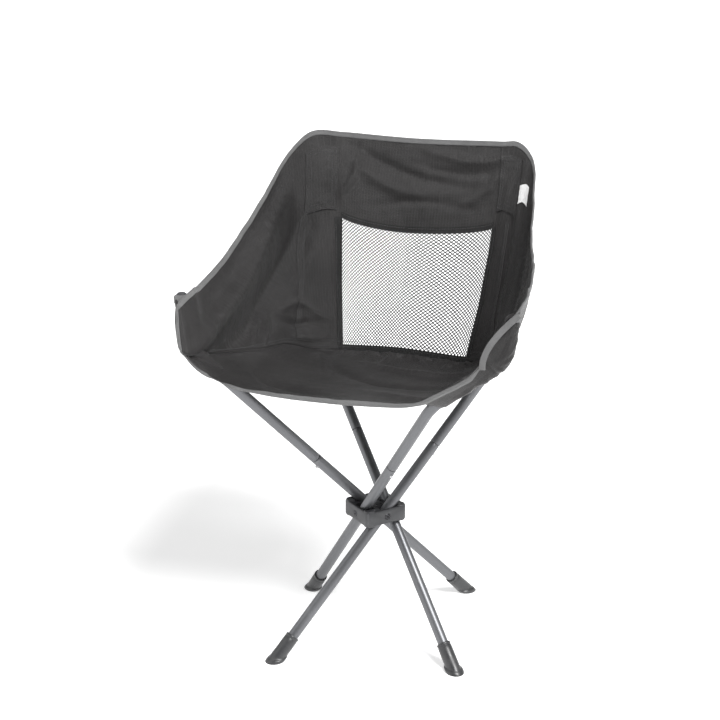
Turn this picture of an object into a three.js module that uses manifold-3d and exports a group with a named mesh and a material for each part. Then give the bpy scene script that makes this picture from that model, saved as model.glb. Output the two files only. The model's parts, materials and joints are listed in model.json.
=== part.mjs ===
// Folding camp chair: four straight legs cross through a central plastic hub in a pinwheel, a bent pole
// plugs into the top of each leg, and a fabric bucket seat hangs on the four poles.
// Millimetres, +Z up, -Y to the sitter's front, +X to the right as seen from the front.
// All places below are measured from the hub's vertical axis at floor level.

import * as THREE from 'three';
import { mergeVertices } from 'three/addons/utils/BufferGeometryUtils.js';
import Module from 'manifold-3d';

const wasm = await Module();
wasm.setup();

// ---- driving dimensions ----
const HUB_HEIGHT = 194;         // pivot bolts above the floor
const PIVOT_OFFSET = 22;        // each leg's plane from the hub axis
const OPEN_ANGLE = 46;          // degrees that three of the legs stand above the horizontal
const STEEP_ANGLE = 51;         // the fourth is held steeper by the seat
const TUBE_R = 8;
const TUBE_BORE_R = 6.8;
const JOINT_REACH = 130;        // pivot to the top end of the leg tube
const JOINT_GAP = 0.8;          // visible gap between leg and pole
const LEG_END_HEIGHT = 11;      // leg tube's lower end above the floor, inside the foot
const FIT_GAP = 0.4;            // clearance between touching pieces

const HUB_HALF = 35;
const HUB_CORNER_R = 8;
const HUB_THICKNESS = 22;
const HUB_BOSS_EXTRA = 1.6;     // how far the corner bosses stand above the ring
const HUB_BOSS_R = 8.5;

const BOLT_R = 2.5;
const BOLT_HEAD_R = 4.4;
const BOLT_HEAD_HEIGHT = 2.6;
const BOLT_END = 6.9;           // bolt's tip from the hub axis
const NUT_FLATS = 8;
const NUT_THICKNESS = 4;
const NUT_OUTER = 11.6;         // nut's outer face from the hub axis

const FERRULE_R = 6.2;
const FERRULE_BORE_R = 5.2;
const FERRULE_BELOW = 52;
const FERRULE_ABOVE = 45;
const BUTTON_R = 2.9;
const BUTTON_BELOW_JOINT = 12.5;
const BUTTON_PROUD = 3;
const BUTTON_FLANGE_R = 3.7;
const SPRING_WIDTH = 4.4;
const SPRING_DROP = 34;

const FOOT_BODY_R = 10.4;
const FOOT_LENGTH = 44;
const FOOT_SOLE_R = 13.5;
const FOOT_SOLE_STRETCH = 1.12; // sole is longer along the leg's direction
const FOOT_SOLE_HEIGHT = 7;

const SLEEVE_R = 10.8;
const SLEEVE_BORE_R = 9.2;
const FABRIC = 2;               // thickness of the plain fabric solids
const BINDING_R = 3.2;
const EDGE_SETBACK = 6.2;       // fabric ends this far inside the binding's middle line

const ROUND_SIDES = 12;

// ---- the four legs: where each pole goes, named by the pole's corner ----
const v3 = (x, y, z) => new THREE.Vector3(x, y, z);
const UP = v3(0, 0, 1);
const diagonal = (x, y) => v3(x, y, 0).normalize();

const LEGS = [
  { name: 'front_left', out: diagonal(-1, -1), angle: OPEN_ANGLE, via: [v3(-224, -192, 499)],
    tip: v3(-228, -186, 564), sleeve: 96 },
  { name: 'front_right', out: diagonal(1, -1), angle: STEEP_ANGLE, via: [v3(113, -144, 419), v3(222, -192, 510)],
    tip: v3(228, -188, 566), sleeve: 205 },
  { name: 'back_left', out: diagonal(-1, 1), angle: OPEN_ANGLE, via: [v3(-147, 178, 432)],
    tip: v3(-150, 262, 694), sleeve: 0 },
  { name: 'back_right', out: diagonal(1, 1), angle: OPEN_ANGLE, via: [v3(178, 147, 432)],
    tip: v3(152, 262, 694), sleeve: 0 },
];
const BACK_POCKET_LENGTH = 92;
const BEND_SETBACK = 24;        // straight length that each bend takes from either side

for (const leg of LEGS) {
  const slope = THREE.MathUtils.degToRad(leg.angle);
  leg.side = UP.clone().cross(leg.out);
  leg.axis = leg.out.clone().multiplyScalar(Math.cos(slope)).addScaledVector(UP, Math.sin(slope));
  leg.under = leg.side.clone().cross(leg.axis);
  leg.pivot = leg.side.clone().multiplyScalar(-PIVOT_OFFSET).addScaledVector(UP, HUB_HEIGHT);
  leg.frame = new THREE.Matrix4().makeBasis(leg.under, leg.side, leg.axis).setPosition(leg.pivot);
  leg.end = -(HUB_HEIGHT - LEG_END_HEIGHT) / Math.sin(slope);
  leg.floor = -HUB_HEIGHT / Math.sin(slope);
}

// ---- geometry helpers ----
function closed(geometry) {
  const bare = geometry.index ? geometry.toNonIndexed() : geometry;
  bare.deleteAttribute('normal');
  bare.deleteAttribute('uv');
  const merged = mergeVertices(bare, 1e-4);
  const p = merged.attributes.position;
  const index = merged.index.array;
  let volume = 0;
  const [a, b, c] = [v3(), v3(), v3()];
  for (let i = 0; i < index.length; i += 3) {
    a.fromBufferAttribute(p, index[i]);
    b.fromBufferAttribute(p, index[i + 1]);
    c.fromBufferAttribute(p, index[i + 2]);
    volume += a.dot(b.cross(c));
  }
  if (volume < 0) {
    for (let i = 0; i < index.length; i += 3) [index[i], index[i + 1]] = [index[i + 1], index[i]];
  }
  return merged;
}

function solid(geometry) {
  const g = closed(geometry);
  return new wasm.Manifold(new wasm.Mesh({
    numProp: 3,
    vertProperties: new Float32Array(g.attributes.position.array),
    triVerts: new Uint32Array(g.index.array),
  }));
}

function fromSolid(manifold) {
  const mesh = manifold.getMesh();
  const g = new THREE.BufferGeometry();
  g.setAttribute('position', new THREE.BufferAttribute(new Float32Array(mesh.vertProperties), 3));
  g.setIndex(new THREE.BufferAttribute(new Uint32Array(mesh.triVerts), 1));
  g.computeVertexNormals();
  return g;
}

const largest = (manifold) => manifold.decompose().sort((one, other) => other.volume() - one.volume())[0];

// A solid of revolution about Z from [radius, z] pairs that close on themselves or on the axis.
function turned(profile, sides = ROUND_SIDES) {
  const points = profile.map(([r, z]) => new THREE.Vector2(r, z));
  if (profile[0][0] > 0) points.push(points[0].clone());
  return new THREE.LatheGeometry(points, sides).rotateX(Math.PI / 2);
}

const pipe = (outer, bore, low, high, sides = ROUND_SIDES) =>
  turned([[bore, low], [outer, low], [outer, high], [bore, high]], sides);

const rod = (radius, low, high, sides = ROUND_SIDES) =>
  turned([[0, low], [radius, low], [radius, high], [0, high]], sides);

// A path of straight runs with smooth bends between them.
class BentPath extends THREE.Curve {
  constructor(corners, setback) {
    super();
    this.pieces = [];
    let start = corners[0];
    for (let i = 1; i < corners.length - 1; i++) {
      const before = corners[i].clone().addScaledVector(
        corners[i - 1].clone().sub(corners[i]).normalize(), setback);
      const after = corners[i].clone().addScaledVector(
        corners[i + 1].clone().sub(corners[i]).normalize(), setback);
      this.pieces.push(new THREE.LineCurve3(start, before));
      this.pieces.push(new THREE.QuadraticBezierCurve3(before, corners[i], after));
      start = after;
    }
    this.pieces.push(new THREE.LineCurve3(start, corners.at(-1)));
    this.total = this.pieces.reduce((sum, piece) => sum + piece.getLength(), 0);
  }

  getPoint(t, target = new THREE.Vector3()) {
    let left = t * this.total;
    for (const piece of this.pieces) {
      const length = piece.getLength();
      if (left <= length || piece === this.pieces.at(-1)) {
        return target.copy(piece.getPointAt(Math.min(1, Math.max(0, left / length))));
      }
      left -= length;
    }
    return target;
  }
}

// The stretch of a path between two distances from its start.
class Stretch extends THREE.Curve {
  constructor(path, from, to) {
    super();
    Object.assign(this, { path, from: from / path.total, to: to / path.total });
  }

  getPoint(t, target = new THREE.Vector3()) {
    return target.copy(this.path.getPointAt(this.from + (this.to - this.from) * t));
  }
}

function alongPath(path, outer, bore, steps, halfSides = 6) {
  const shape = new THREE.Shape().absarc(0, 0, outer, 0, Math.PI * 2);
  if (bore) shape.holes.push(new THREE.Path().absarc(0, 0, bore, 0, Math.PI * 2, true));
  return new THREE.ExtrudeGeometry(shape, { steps, curveSegments: halfSides, extrudePath: path, bevelEnabled: false });
}

// A thin slab that follows surface(a, b), a and b from 0 to 1, between two heights above it.
function slab(surface, columns, rows, low, high) {
  const g = new THREE.BoxGeometry(1, 1, 1, columns, rows, 1);
  const p = g.attributes.position;
  const step = 1e-3;
  for (let i = 0; i < p.count; i++) {
    const [a, b] = [p.getX(i) + 0.5, p.getY(i) + 0.5];
    const along = surface(a + step, b).sub(surface(a - step, b));
    const across = surface(a, b + step).sub(surface(a, b - step));
    const point = surface(a, b).addScaledVector(along.cross(across).normalize(), p.getZ(i) > 0 ? high : low);
    p.setXYZ(i, point.x, point.y, point.z);
  }
  return g;
}

// ---- materials ----
const finish = (color, roughness, metalness) => new THREE.MeshStandardMaterial({ color, roughness, metalness });
const TUBE = finish(0x6f7175, 0.38, 0.7);
const PLASTIC = finish(0x55565a, 0.5, 0);
const RUBBER = finish(0x4a4b4e, 0.75, 0);
const STEEL = finish(0x8b8d90, 0.3, 1);
const CLOTH = finish(0x333336, 0.85, 0);
const NET = finish(0x222224, 0.9, 0);
const TAPE = finish(0x77787a, 0.8, 0);
const LABEL = finish(0xdcdcdc, 0.8, 0);

const chair = new THREE.Group();

function add(name, geometry, material) {
  const g = closed(geometry);
  g.computeVertexNormals();
  const mesh = new THREE.Mesh(g, material);
  mesh.name = name;
  chair.add(mesh);
}

// ---- hub ----
function hubGeometry() {
  const [half, r] = [HUB_HALF, HUB_CORNER_R];
  const outline = new THREE.Shape();
  outline.absarc(half - r, half - r, r, 0, Math.PI / 2);
  outline.absarc(r - half, half - r, r, Math.PI / 2, Math.PI);
  outline.absarc(r - half, r - half, r, Math.PI, Math.PI * 1.5);
  outline.absarc(half - r, r - half, r, Math.PI * 1.5, Math.PI * 2);
  const ring = new THREE.ExtrudeGeometry(outline,
    { depth: HUB_THICKNESS - 2, curveSegments: 3, bevelThickness: 1, bevelSize: 1, bevelOffset: -1, bevelSegments: 1 });
  ring.translate(0, 0, 1 - HUB_THICKNESS / 2);
  let hub = solid(ring);

  const top = HUB_THICKNESS / 2 + HUB_BOSS_EXTRA;
  const inset = half - HUB_BOSS_R - 0.4;
  const boss = turned([[0, -top], [HUB_BOSS_R - 1, -top], [HUB_BOSS_R, 1 - top], [HUB_BOSS_R, top - 1],
    [HUB_BOSS_R - 1, top], [0, top]]);
  for (const [x, y] of [[1, 1], [-1, 1], [-1, -1], [1, -1]]) {
    hub = hub.add(solid(boss.clone().translate(x * inset, y * inset, 0)));
  }

  // Each leg's channel leaves room from the open angle to upright.
  const reach = top + 1;
  const clear = TUBE_R + FIT_GAP;
  const open = THREE.MathUtils.degToRad(OPEN_ANGLE);
  const openHalf = clear / Math.sin(open);
  const openTop = reach / Math.tan(open) + openHalf;
  const meet = (openHalf - clear) * Math.tan(open);
  const channel = new THREE.Shape([[-clear, reach], [openTop, reach], [clear, -meet], [clear, -reach],
    [-openTop, -reach], [-clear, meet]].map(([x, y]) => new THREE.Vector2(x, y)));
  const cut = new THREE.ExtrudeGeometry(channel, { depth: 2 * clear, bevelEnabled: false });
  cut.translate(0, 0, -clear).rotateX(Math.PI / 2).translate(0, -PIVOT_OFFSET, 0);

  const boltHole = rod(BOLT_R + FIT_GAP, BOLT_END - 1, HUB_HALF + 2);
  const headRecess = rod(BOLT_HEAD_R + FIT_GAP, HUB_HALF - 2, HUB_HALF + 2);
  const pocket = new THREE.BoxGeometry(NUT_FLATS / Math.cos(Math.PI / 6) + 2 * FIT_GAP, NUT_THICKNESS + 2 * FIT_GAP,
    HUB_HEIGHT);
  const pocketMiddle = NUT_OUTER - NUT_THICKNESS / 2;
  pocket.translate(0, -pocketMiddle, HUB_HEIGHT / 2 - NUT_FLATS / 2 - FIT_GAP);
  for (let quarter = 0; quarter < 4; quarter++) {
    const turn = quarter * Math.PI / 2;
    hub = hub.subtract(solid(cut.clone().rotateZ(turn)));
    hub = hub.subtract(solid(boltHole.clone().rotateX(Math.PI / 2).rotateZ(turn)));
    hub = hub.subtract(solid(headRecess.clone().rotateX(Math.PI / 2).rotateZ(turn)));
    hub = hub.subtract(solid(pocket.clone().rotateZ(turn)));
  }
  return fromSolid(hub).rotateZ(Math.PI / 4).translate(0, 0, HUB_HEIGHT);
}

// ---- pivot bolts and nuts, made along Z and laid along each leg's pivot line ----
function onPivotLine(geometry, leg) {
  const frame = new THREE.Matrix4().makeBasis(leg.out, UP, leg.side.clone().negate());
  return geometry.applyMatrix4(frame.setPosition(0, 0, HUB_HEIGHT));
}

function boltGeometry(leg) {
  const head = HUB_HALF - 2 + FIT_GAP;
  return onPivotLine(turned([[0, BOLT_END], [BOLT_R, BOLT_END], [BOLT_R, head], [BOLT_HEAD_R, head],
    [BOLT_HEAD_R, head + BOLT_HEAD_HEIGHT * 0.5], [BOLT_HEAD_R * 0.6, head + BOLT_HEAD_HEIGHT],
    [0, head + BOLT_HEAD_HEIGHT]]), leg);
}

function nutGeometry(leg) {
  const across = NUT_FLATS / 2 / Math.cos(Math.PI / 6);
  const outer = solid(rod(across, NUT_OUTER - NUT_THICKNESS, NUT_OUTER, 6).rotateZ(Math.PI / 6));
  const bore = solid(rod(BOLT_R + FIT_GAP, 0, HUB_HALF));
  return onPivotLine(fromSolid(outer.subtract(bore)), leg);
}

// ---- tubes ----
const buttonHole = (height) => {
  const hole = rod(BUTTON_R + FIT_GAP, 0, 2 * TUBE_R, 12);
  return solid(hole.rotateY(Math.PI / 2).translate(0, 0, height));
};

function legGeometry(leg) {
  const pivotHole = rod(BOLT_R + FIT_GAP, -2 * TUBE_R, 2 * TUBE_R, 12).rotateX(Math.PI / 2);
  const tube = solid(pipe(TUBE_R, TUBE_BORE_R, leg.end, JOINT_REACH))
    .subtract(solid(pivotHole))
    .subtract(buttonHole(JOINT_REACH - BUTTON_BELOW_JOINT));
  return fromSolid(tube).applyMatrix4(leg.frame);
}

function ferruleGeometry(leg) {
  const tube = solid(pipe(FERRULE_R, FERRULE_BORE_R, JOINT_REACH - FERRULE_BELOW, JOINT_REACH + FERRULE_ABOVE))
    .subtract(buttonHole(JOINT_REACH - BUTTON_BELOW_JOINT));
  return fromSolid(tube).applyMatrix4(leg.frame);
}

function polePath(leg) {
  const start = leg.pivot.clone().addScaledVector(leg.axis, JOINT_REACH + JOINT_GAP);
  return new BentPath([start, ...leg.via, leg.tip], BEND_SETBACK);
}

function capGeometry(leg) {
  const path = polePath(leg);
  const direction = path.getTangentAt(1);
  const stem = TUBE_BORE_R - 2 * FIT_GAP;
  const cap = turned([[0, -12], [stem, -12], [stem, FIT_GAP], [TUBE_R, FIT_GAP], [TUBE_R, 3], [TUBE_R * 0.6, 6], [0, 6.8]]);
  cap.applyQuaternion(new THREE.Quaternion().setFromUnitVectors(UP, direction));
  return cap.translate(leg.tip.x, leg.tip.y, leg.tip.z);
}

// ---- snap button: a domed pin with a flange inside, on a leaf bent into a V ----
function buttonGeometry(leg) {
  const top = TUBE_R + BUTTON_PROUD;
  const pin = turned([[0, 2.2], [BUTTON_FLANGE_R, 2.2], [BUTTON_FLANGE_R, 3], [BUTTON_R, 3], [BUTTON_R, top - 1.4],
    [BUTTON_R * 0.75, top - 0.4], [0, top]], 12);
  pin.rotateY(Math.PI / 2).translate(0, 0, JOINT_REACH - BUTTON_BELOW_JOINT);
  return pin.applyMatrix4(leg.frame);
}

function springGeometry(leg) {
  const height = JOINT_REACH - BUTTON_BELOW_JOINT;
  const foot = height - SPRING_DROP;
  const leaf = new THREE.Shape([[1.9, height + 3], [-0.6, foot], [-1.4, foot], [-4, height + 3], [-3.3, height + 3],
    [-1, foot + 4], [1.2, height + 3]].map(([x, y]) => new THREE.Vector2(x, y)));
  const strip = new THREE.ExtrudeGeometry(leaf, { depth: SPRING_WIDTH, bevelEnabled: false });
  strip.rotateX(Math.PI / 2).translate(0, SPRING_WIDTH / 2, 0);
  return strip.applyMatrix4(leg.frame);
}

// ---- rubber foot: a boot along the leg, with a sole that lies flat on the floor ----
function footGeometry(leg) {
  const end = leg.end;
  const body = turned([[0, end - 2 * LEG_END_HEIGHT], [FOOT_BODY_R, end - 2 * LEG_END_HEIGHT],
    [FOOT_BODY_R, end + FOOT_LENGTH - 16], [FOOT_BODY_R - 0.5, end + FOOT_LENGTH - 14],
    [0, end + FOOT_LENGTH - 14]]).applyMatrix4(leg.frame);
  const bore = rod(TUBE_R + FIT_GAP, end - FIT_GAP, end + FOOT_LENGTH).applyMatrix4(leg.frame);
  const standing = leg.pivot.clone().addScaledVector(leg.axis, leg.floor);
  const sole = turned([[0, 0], [FOOT_SOLE_R - 1, 0], [FOOT_SOLE_R, 1.5], [FOOT_SOLE_R, FOOT_SOLE_HEIGHT - 2],
    [FOOT_SOLE_R - 2.5, FOOT_SOLE_HEIGHT], [0, FOOT_SOLE_HEIGHT]], 20);
  sole.scale(FOOT_SOLE_STRETCH, 1, 1);
  sole.applyMatrix4(new THREE.Matrix4().makeBasis(leg.out, leg.side, UP).setPosition(standing));
  const room = new THREE.BoxGeometry(1000, 1000, 1000).translate(0, 0, 500);
  return fromSolid(solid(body).add(solid(sole)).intersect(solid(room)).subtract(solid(bore)));
}

// ---- fabric bucket ----
// The wall is set by three rows of points, from the left front edge round the back to the right front
// edge: the seam along the seat, a row three fifths of the way up, and the rim.
const WALL_COLUMNS = 14;
const MIDDLE_ROW = 0.6;
const SEAM = [
  [-203, -175, 502], [-196, -110, 469], [-172, -20, 441], [-150, 60, 419], [-122, 112, 406], [-100, 132, 401],
  [-86, 138, 399], [12, 143, 397], [110, 130, 401], [124, 124, 404], [142, 100, 410], [160, 50, 422],
  [178, -25, 439], [197, -115, 468], [194, -175, 506]];
const MIDDLE = [
  [-216, -178, 543], [-222, -110, 520], [-212, -10, 522], [-194, 92, 545], [-168, 172, 580], [-130, 196, 590],
  [-104, 203, 590], [16, 210, 587], [136, 198, 590], [148, 190, 590], [174, 166, 582], [200, 90, 548],
  [214, -10, 526], [224, -110, 530], [216, -178, 550]];
const RIM = [
  [-222, -174, 570], [-231, -110, 560], [-226, 0, 577], [-210, 110, 626], [-188, 222, 692], [-162, 245, 716],
  [-112, 249, 714], [0, 251, 709], [136, 249, 712], [162, 245, 713], [188, 222, 692], [210, 110, 630],
  [226, 0, 584], [231, -110, 573], [222, -174, 586]];
const FRONT_EDGE = [
  [-203, -175, 502], [-168, -188, 458], [-120, -184, 434], [-40, -180, 428], [40, -180, 428], [98, -184, 438],
  [145, -186, 464], [174, -183, 484], [194, -175, 506]];
const SEAT_SAG = 8;
const POLE_COLUMN_LEFT = 5;
const POLE_COLUMN_RIGHT = 9;
const NET_COLUMN_LEFT = 6;
const NET_COLUMN_RIGHT = 8;
const NET_TOP = 0.61;

const rowCurve = (points) => new THREE.CatmullRomCurve3(points.map((p) => v3(...p)), false, 'centripetal');
const [seamRow, middleRow, rimRow, frontRow] = [SEAM, MIDDLE, RIM, FRONT_EDGE].map(rowCurve);

// s counts columns from 0 to WALL_COLUMNS, t goes from 0 at the seam to 1 at the rim.
function wall(s, t) {
  const u = THREE.MathUtils.clamp(s / WALL_COLUMNS, 0, 1);
  const m = MIDDLE_ROW;
  const low = seamRow.getPoint(u).multiplyScalar((t - m) * (t - 1) / m);
  const middle = middleRow.getPoint(u).multiplyScalar(t * (t - 1) / (m * (m - 1)));
  const high = rimRow.getPoint(u).multiplyScalar(t * (t - m) / (1 - m));
  return low.add(middle).add(high);
}

// The share of the wall's height at column s that the rim's binding takes.
const rimShare = (s) => EDGE_SETBACK * (1 - MIDDLE_ROW) / wall(s, 1).distanceTo(wall(s, MIDDLE_ROW));

// A stretch of the wall; with no upper limit it ends at the rim's binding.
const wallPatch = (s0, s1, t0, t1) => (a, b) => {
  const s = s0 + (s1 - s0) * THREE.MathUtils.clamp(a, 0, 1);
  return wall(s, t0 + ((t1 ?? 1 - rimShare(s)) - t0) * b);
};

// The seat is a Coons patch between the front edge and the seam, with a little sag.
function seat(a, b) {
  const [a1, b1] = [THREE.MathUtils.clamp(a, 0, 1), THREE.MathUtils.clamp(b, 0, 1)];
  const seam = (s) => seamRow.getPoint(s / WALL_COLUMNS);
  const right = WALL_COLUMNS - (WALL_COLUMNS - POLE_COLUMN_RIGHT) * b1;
  const ends = frontRow.getPoint(a1).multiplyScalar(1 - b1)
    .addScaledVector(seam(POLE_COLUMN_LEFT + (POLE_COLUMN_RIGHT - POLE_COLUMN_LEFT) * a1), b1);
  const sides = seam(POLE_COLUMN_LEFT * b1).multiplyScalar(1 - a1).addScaledVector(seam(right), a1);
  const corners = seam(0).multiplyScalar((1 - a1) * (1 - b1)).addScaledVector(seam(WALL_COLUMNS), a1 * (1 - b1))
    .addScaledVector(seam(POLE_COLUMN_LEFT), (1 - a1) * b1).addScaledVector(seam(POLE_COLUMN_RIGHT), a1 * b1);
  const point = ends.add(sides).sub(corners);
  point.z -= SEAT_SAG * Math.sin(Math.PI * a1) * Math.sin(Math.PI * b1);
  return point;
}

const inset = (surface, left, right, low, high) => (a, b) =>
  surface(left + (1 - left - right) * a, low + (1 - low - high) * b);

function addFabric() {
  const cut = 0.008;            // share of a panel left free along a seam
  const low = -FABRIC / 2;
  const high = FABRIC / 2;
  const panel = solid(slab(inset(seat, 0.012, 0.012, 0.014, 0.01), 12, 10, low, high));
  const sleeves = LEGS.filter((leg) => leg.sleeve).map((leg) => {
    const path = polePath(leg);
    return solid(alongPath(path, SLEEVE_R + 2 * FIT_GAP, 0, Math.round(path.total / 10)));
  });
  add('seat_panel', fromSolid(largest(panel.subtract(sleeves[0]).subtract(sleeves[1]))), CLOTH);
  const wing = (s0, s1) => slab(wallPatch(s0, s1, 0.02), 14, 7, low, high);
  add('left_wing', wing(0.12, NET_COLUMN_LEFT - cut * 2), CLOTH);
  add('right_wing', wing(NET_COLUMN_RIGHT + cut * 2, WALL_COLUMNS - 0.12), CLOTH);
  const across = [NET_COLUMN_LEFT + cut, NET_COLUMN_RIGHT - cut];
  add('back_top_panel', slab(wallPatch(...across, NET_TOP + cut / 2), 8, 4, low, high), CLOTH);
  add('mesh_window', slab(wallPatch(...across, 0.02, NET_TOP), 8, 7, low, high), NET);

  const rim = new THREE.CatmullRomCurve3(RIM.map((p) => v3(...p)), false, 'centripetal');
  add('rim_binding', alongPath(rim, BINDING_R, 0, 60, 3), TAPE);
  const left = [[-212, -183, 560], [-211, -184, 542], [-206, -185, 520]];
  const right = [[198, -185, 524], [207, -184, 550], [212, -184, 575]];
  const edge = [...left, [-199, -181, 496], ...FRONT_EDGE.slice(1, -1).map(([x, y, z]) => [x, y - EDGE_SETBACK, z]),
    [186, -186, 500], ...right];
  add('front_binding', alongPath(rowCurve(edge), BINDING_R, 0, 48, 3), TAPE);

  const patch = (s) => slab(wallPatch(s - 0.34, s + 0.34, 0.66, 0.93), 4, 4, high + 0.8, high + 2);
  add('left_pocket_patch', patch(POLE_COLUMN_LEFT + 0.3), CLOTH);
  add('right_pocket_patch', patch(POLE_COLUMN_RIGHT - 0.3), CLOTH);
  add('woven_label', slab(wallPatch(10.12, 10.32, 0.78, 0.88), 2, 2, high + 1.8, high + 2.8), LABEL);
}

// ---- assembly ----
add('hub', hubGeometry(), PLASTIC);
for (const leg of LEGS) {
  const path = polePath(leg);
  add(`${leg.name}_pivot_bolt`, boltGeometry(leg), STEEL);
  add(`${leg.name}_pivot_nut`, nutGeometry(leg), STEEL);
  add(`${leg.name}_leg`, legGeometry(leg), TUBE);
  add(`${leg.name}_foot`, footGeometry(leg), RUBBER);
  add(`${leg.name}_ferrule`, ferruleGeometry(leg), STEEL);
  add(`${leg.name}_pole`, alongPath(path, TUBE_R, TUBE_BORE_R, Math.round(path.total / 20)), TUBE);
  add(`${leg.name}_end_cap`, capGeometry(leg), PLASTIC);
  add(`${leg.name}_snap_button`, buttonGeometry(leg), STEEL);
  add(`${leg.name}_snap_spring`, springGeometry(leg), STEEL);
  const wrapped = leg.sleeve || BACK_POCKET_LENGTH;
  const sleeve = new Stretch(path, path.total - wrapped, path.total - 1);
  add(`${leg.name}_${leg.sleeve ? 'corner_sleeve' : 'pocket'}`,
    alongPath(sleeve, SLEEVE_R, SLEEVE_BORE_R, Math.round(wrapped / 20)), CLOTH);
}
addFabric();

// The origin is the middle of the bounding box at floor level.
const box = new THREE.Box3().setFromObject(chair);
const middle = box.getCenter(v3());
chair.position.set(-middle.x, -middle.y, 0);

export default chair;
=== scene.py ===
import json
import math

import bmesh
import bpy
import numpy as np
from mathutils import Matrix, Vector


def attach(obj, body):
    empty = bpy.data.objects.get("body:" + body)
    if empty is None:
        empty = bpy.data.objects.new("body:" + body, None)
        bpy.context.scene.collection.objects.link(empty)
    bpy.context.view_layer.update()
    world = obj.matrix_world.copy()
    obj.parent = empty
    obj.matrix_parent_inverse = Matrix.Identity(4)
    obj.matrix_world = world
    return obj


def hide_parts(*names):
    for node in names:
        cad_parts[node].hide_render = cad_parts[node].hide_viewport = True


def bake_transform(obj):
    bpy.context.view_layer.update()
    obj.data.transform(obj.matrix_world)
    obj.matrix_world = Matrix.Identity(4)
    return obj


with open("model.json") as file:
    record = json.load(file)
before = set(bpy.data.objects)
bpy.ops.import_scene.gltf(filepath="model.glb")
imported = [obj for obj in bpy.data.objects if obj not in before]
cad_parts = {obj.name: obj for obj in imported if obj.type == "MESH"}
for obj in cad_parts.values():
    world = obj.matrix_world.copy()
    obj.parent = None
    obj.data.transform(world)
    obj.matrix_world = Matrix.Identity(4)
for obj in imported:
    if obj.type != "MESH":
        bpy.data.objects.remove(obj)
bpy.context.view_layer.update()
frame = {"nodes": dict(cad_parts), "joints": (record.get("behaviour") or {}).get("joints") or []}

# Folding camp chair. Lengths are millimetres measured from the hub's vertical axis at floor level, and
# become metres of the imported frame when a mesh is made. +Z is up and -Y is the sitter's front.

MM = 0.001
UP = np.array([0.0, 0.0, 1.0])
CORNERS = ("front_left", "front_right", "back_left", "back_right")
JOINTS = {joint["name"]: joint for joint in frame["joints"]}
HUB_XY = np.mean([JOINTS[f"{corner}_fold"]["pos_m"] for corner in CORNERS], axis=0) * [1, 1, 0]
HUB_HEIGHT = JOINTS["front_left_fold"]["pos_m"][2] / MM

TUBE_R = 8.0
TUBE_BORE_R = 6.8
TUBE_SIDES = 40
JOINT_REACH = 130.0            # from the pivot to the upper end of the leg tube
JOINT_GAP = 0.8                # between the leg tube and its pole
LEG_END_HEIGHT = 11.0          # of the leg tube's lower end over the floor
BEND_SETBACK = 24.0            # from a pole's corner to the start of its bend
POLE_STEP = 3.0                # between a pole's points, along it
CHAMFER = 0.5
RING_STEP = 6.0                # between the rings of a tube's mesh
SLEEVE_R = 9.6
FABRIC = 0.9                   # thickness
POLE_CLEARANCE = 10.6          # from a pole's axis to the cloth that lies over it
MOST_LIFT = 25.0               # the most that a pole raises the cloth


# ---------------------------------------------------------------- small helpers
def vec(*xyz):
    return np.array(xyz, float)


def unit(v):
    v = np.asarray(v, float)
    return v / np.maximum(np.linalg.norm(v, axis=-1, keepdims=True), 1e-9)


def smooth(x):
    x = np.clip(x, 0.0, 1.0)
    return x * x * (3 - 2 * x)


def distances_along(line):
    """How far along a line each of its points lies."""
    return np.concatenate([[0], np.cumsum(np.linalg.norm(np.diff(line, axis=0), axis=1))])


def sampled(at, along, values):
    """Rows of values at other places along a line."""
    return np.stack([np.interp(at, along, column) for column in values.T], axis=-1)


def wheel(turn, side, across):
    """Spokes at each turn from side towards across."""
    return np.cos(turn)[:, None] * side[..., None, :] + np.sin(turn)[:, None] * across[..., None, :]


def sharpen(mesh, degrees):
    mesh.set_sharp_from_angle(angle=math.radians(degrees))


def soften(mesh, degrees):
    """Smooth shading, but for edges sharper than the angle."""
    mesh.polygons.foreach_set("use_smooth", np.ones(len(mesh.polygons), bool))
    mesh.update()
    sharpen(mesh, degrees)


def linked(name, data):
    """A new object in the scene."""
    thing = bpy.data.objects.new(name, data)
    bpy.context.scene.collection.objects.link(thing)
    return thing


def make_piece(name, shape, material, sharp=38.0):
    """A piece from its points in millimetres about the hub axis, its faces and each point's uv in metres."""
    points, faces, uv = shape
    mesh = bpy.data.meshes.new(name)
    placed = np.asarray(points, float) * MM + HUB_XY
    mesh.from_pydata(placed.tolist(), [], [list(map(int, face)) for face in faces])
    layer = mesh.uv_layers.new(name="UVMap")
    loops = np.zeros(len(mesh.loops), np.int32)
    mesh.loops.foreach_get("vertex_index", loops)
    layer.data.foreach_set("uv", np.asarray(uv, np.float32)[loops].ravel())
    soften(mesh, sharp)
    mesh.materials.append(material)
    return linked(name, mesh)


def settle(piece, body, slot, *nodes):
    """The piece rides on a body and stands for CAD nodes; the slot is not used."""
    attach(piece, body)
    if nodes:
        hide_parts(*nodes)
    return piece


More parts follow.
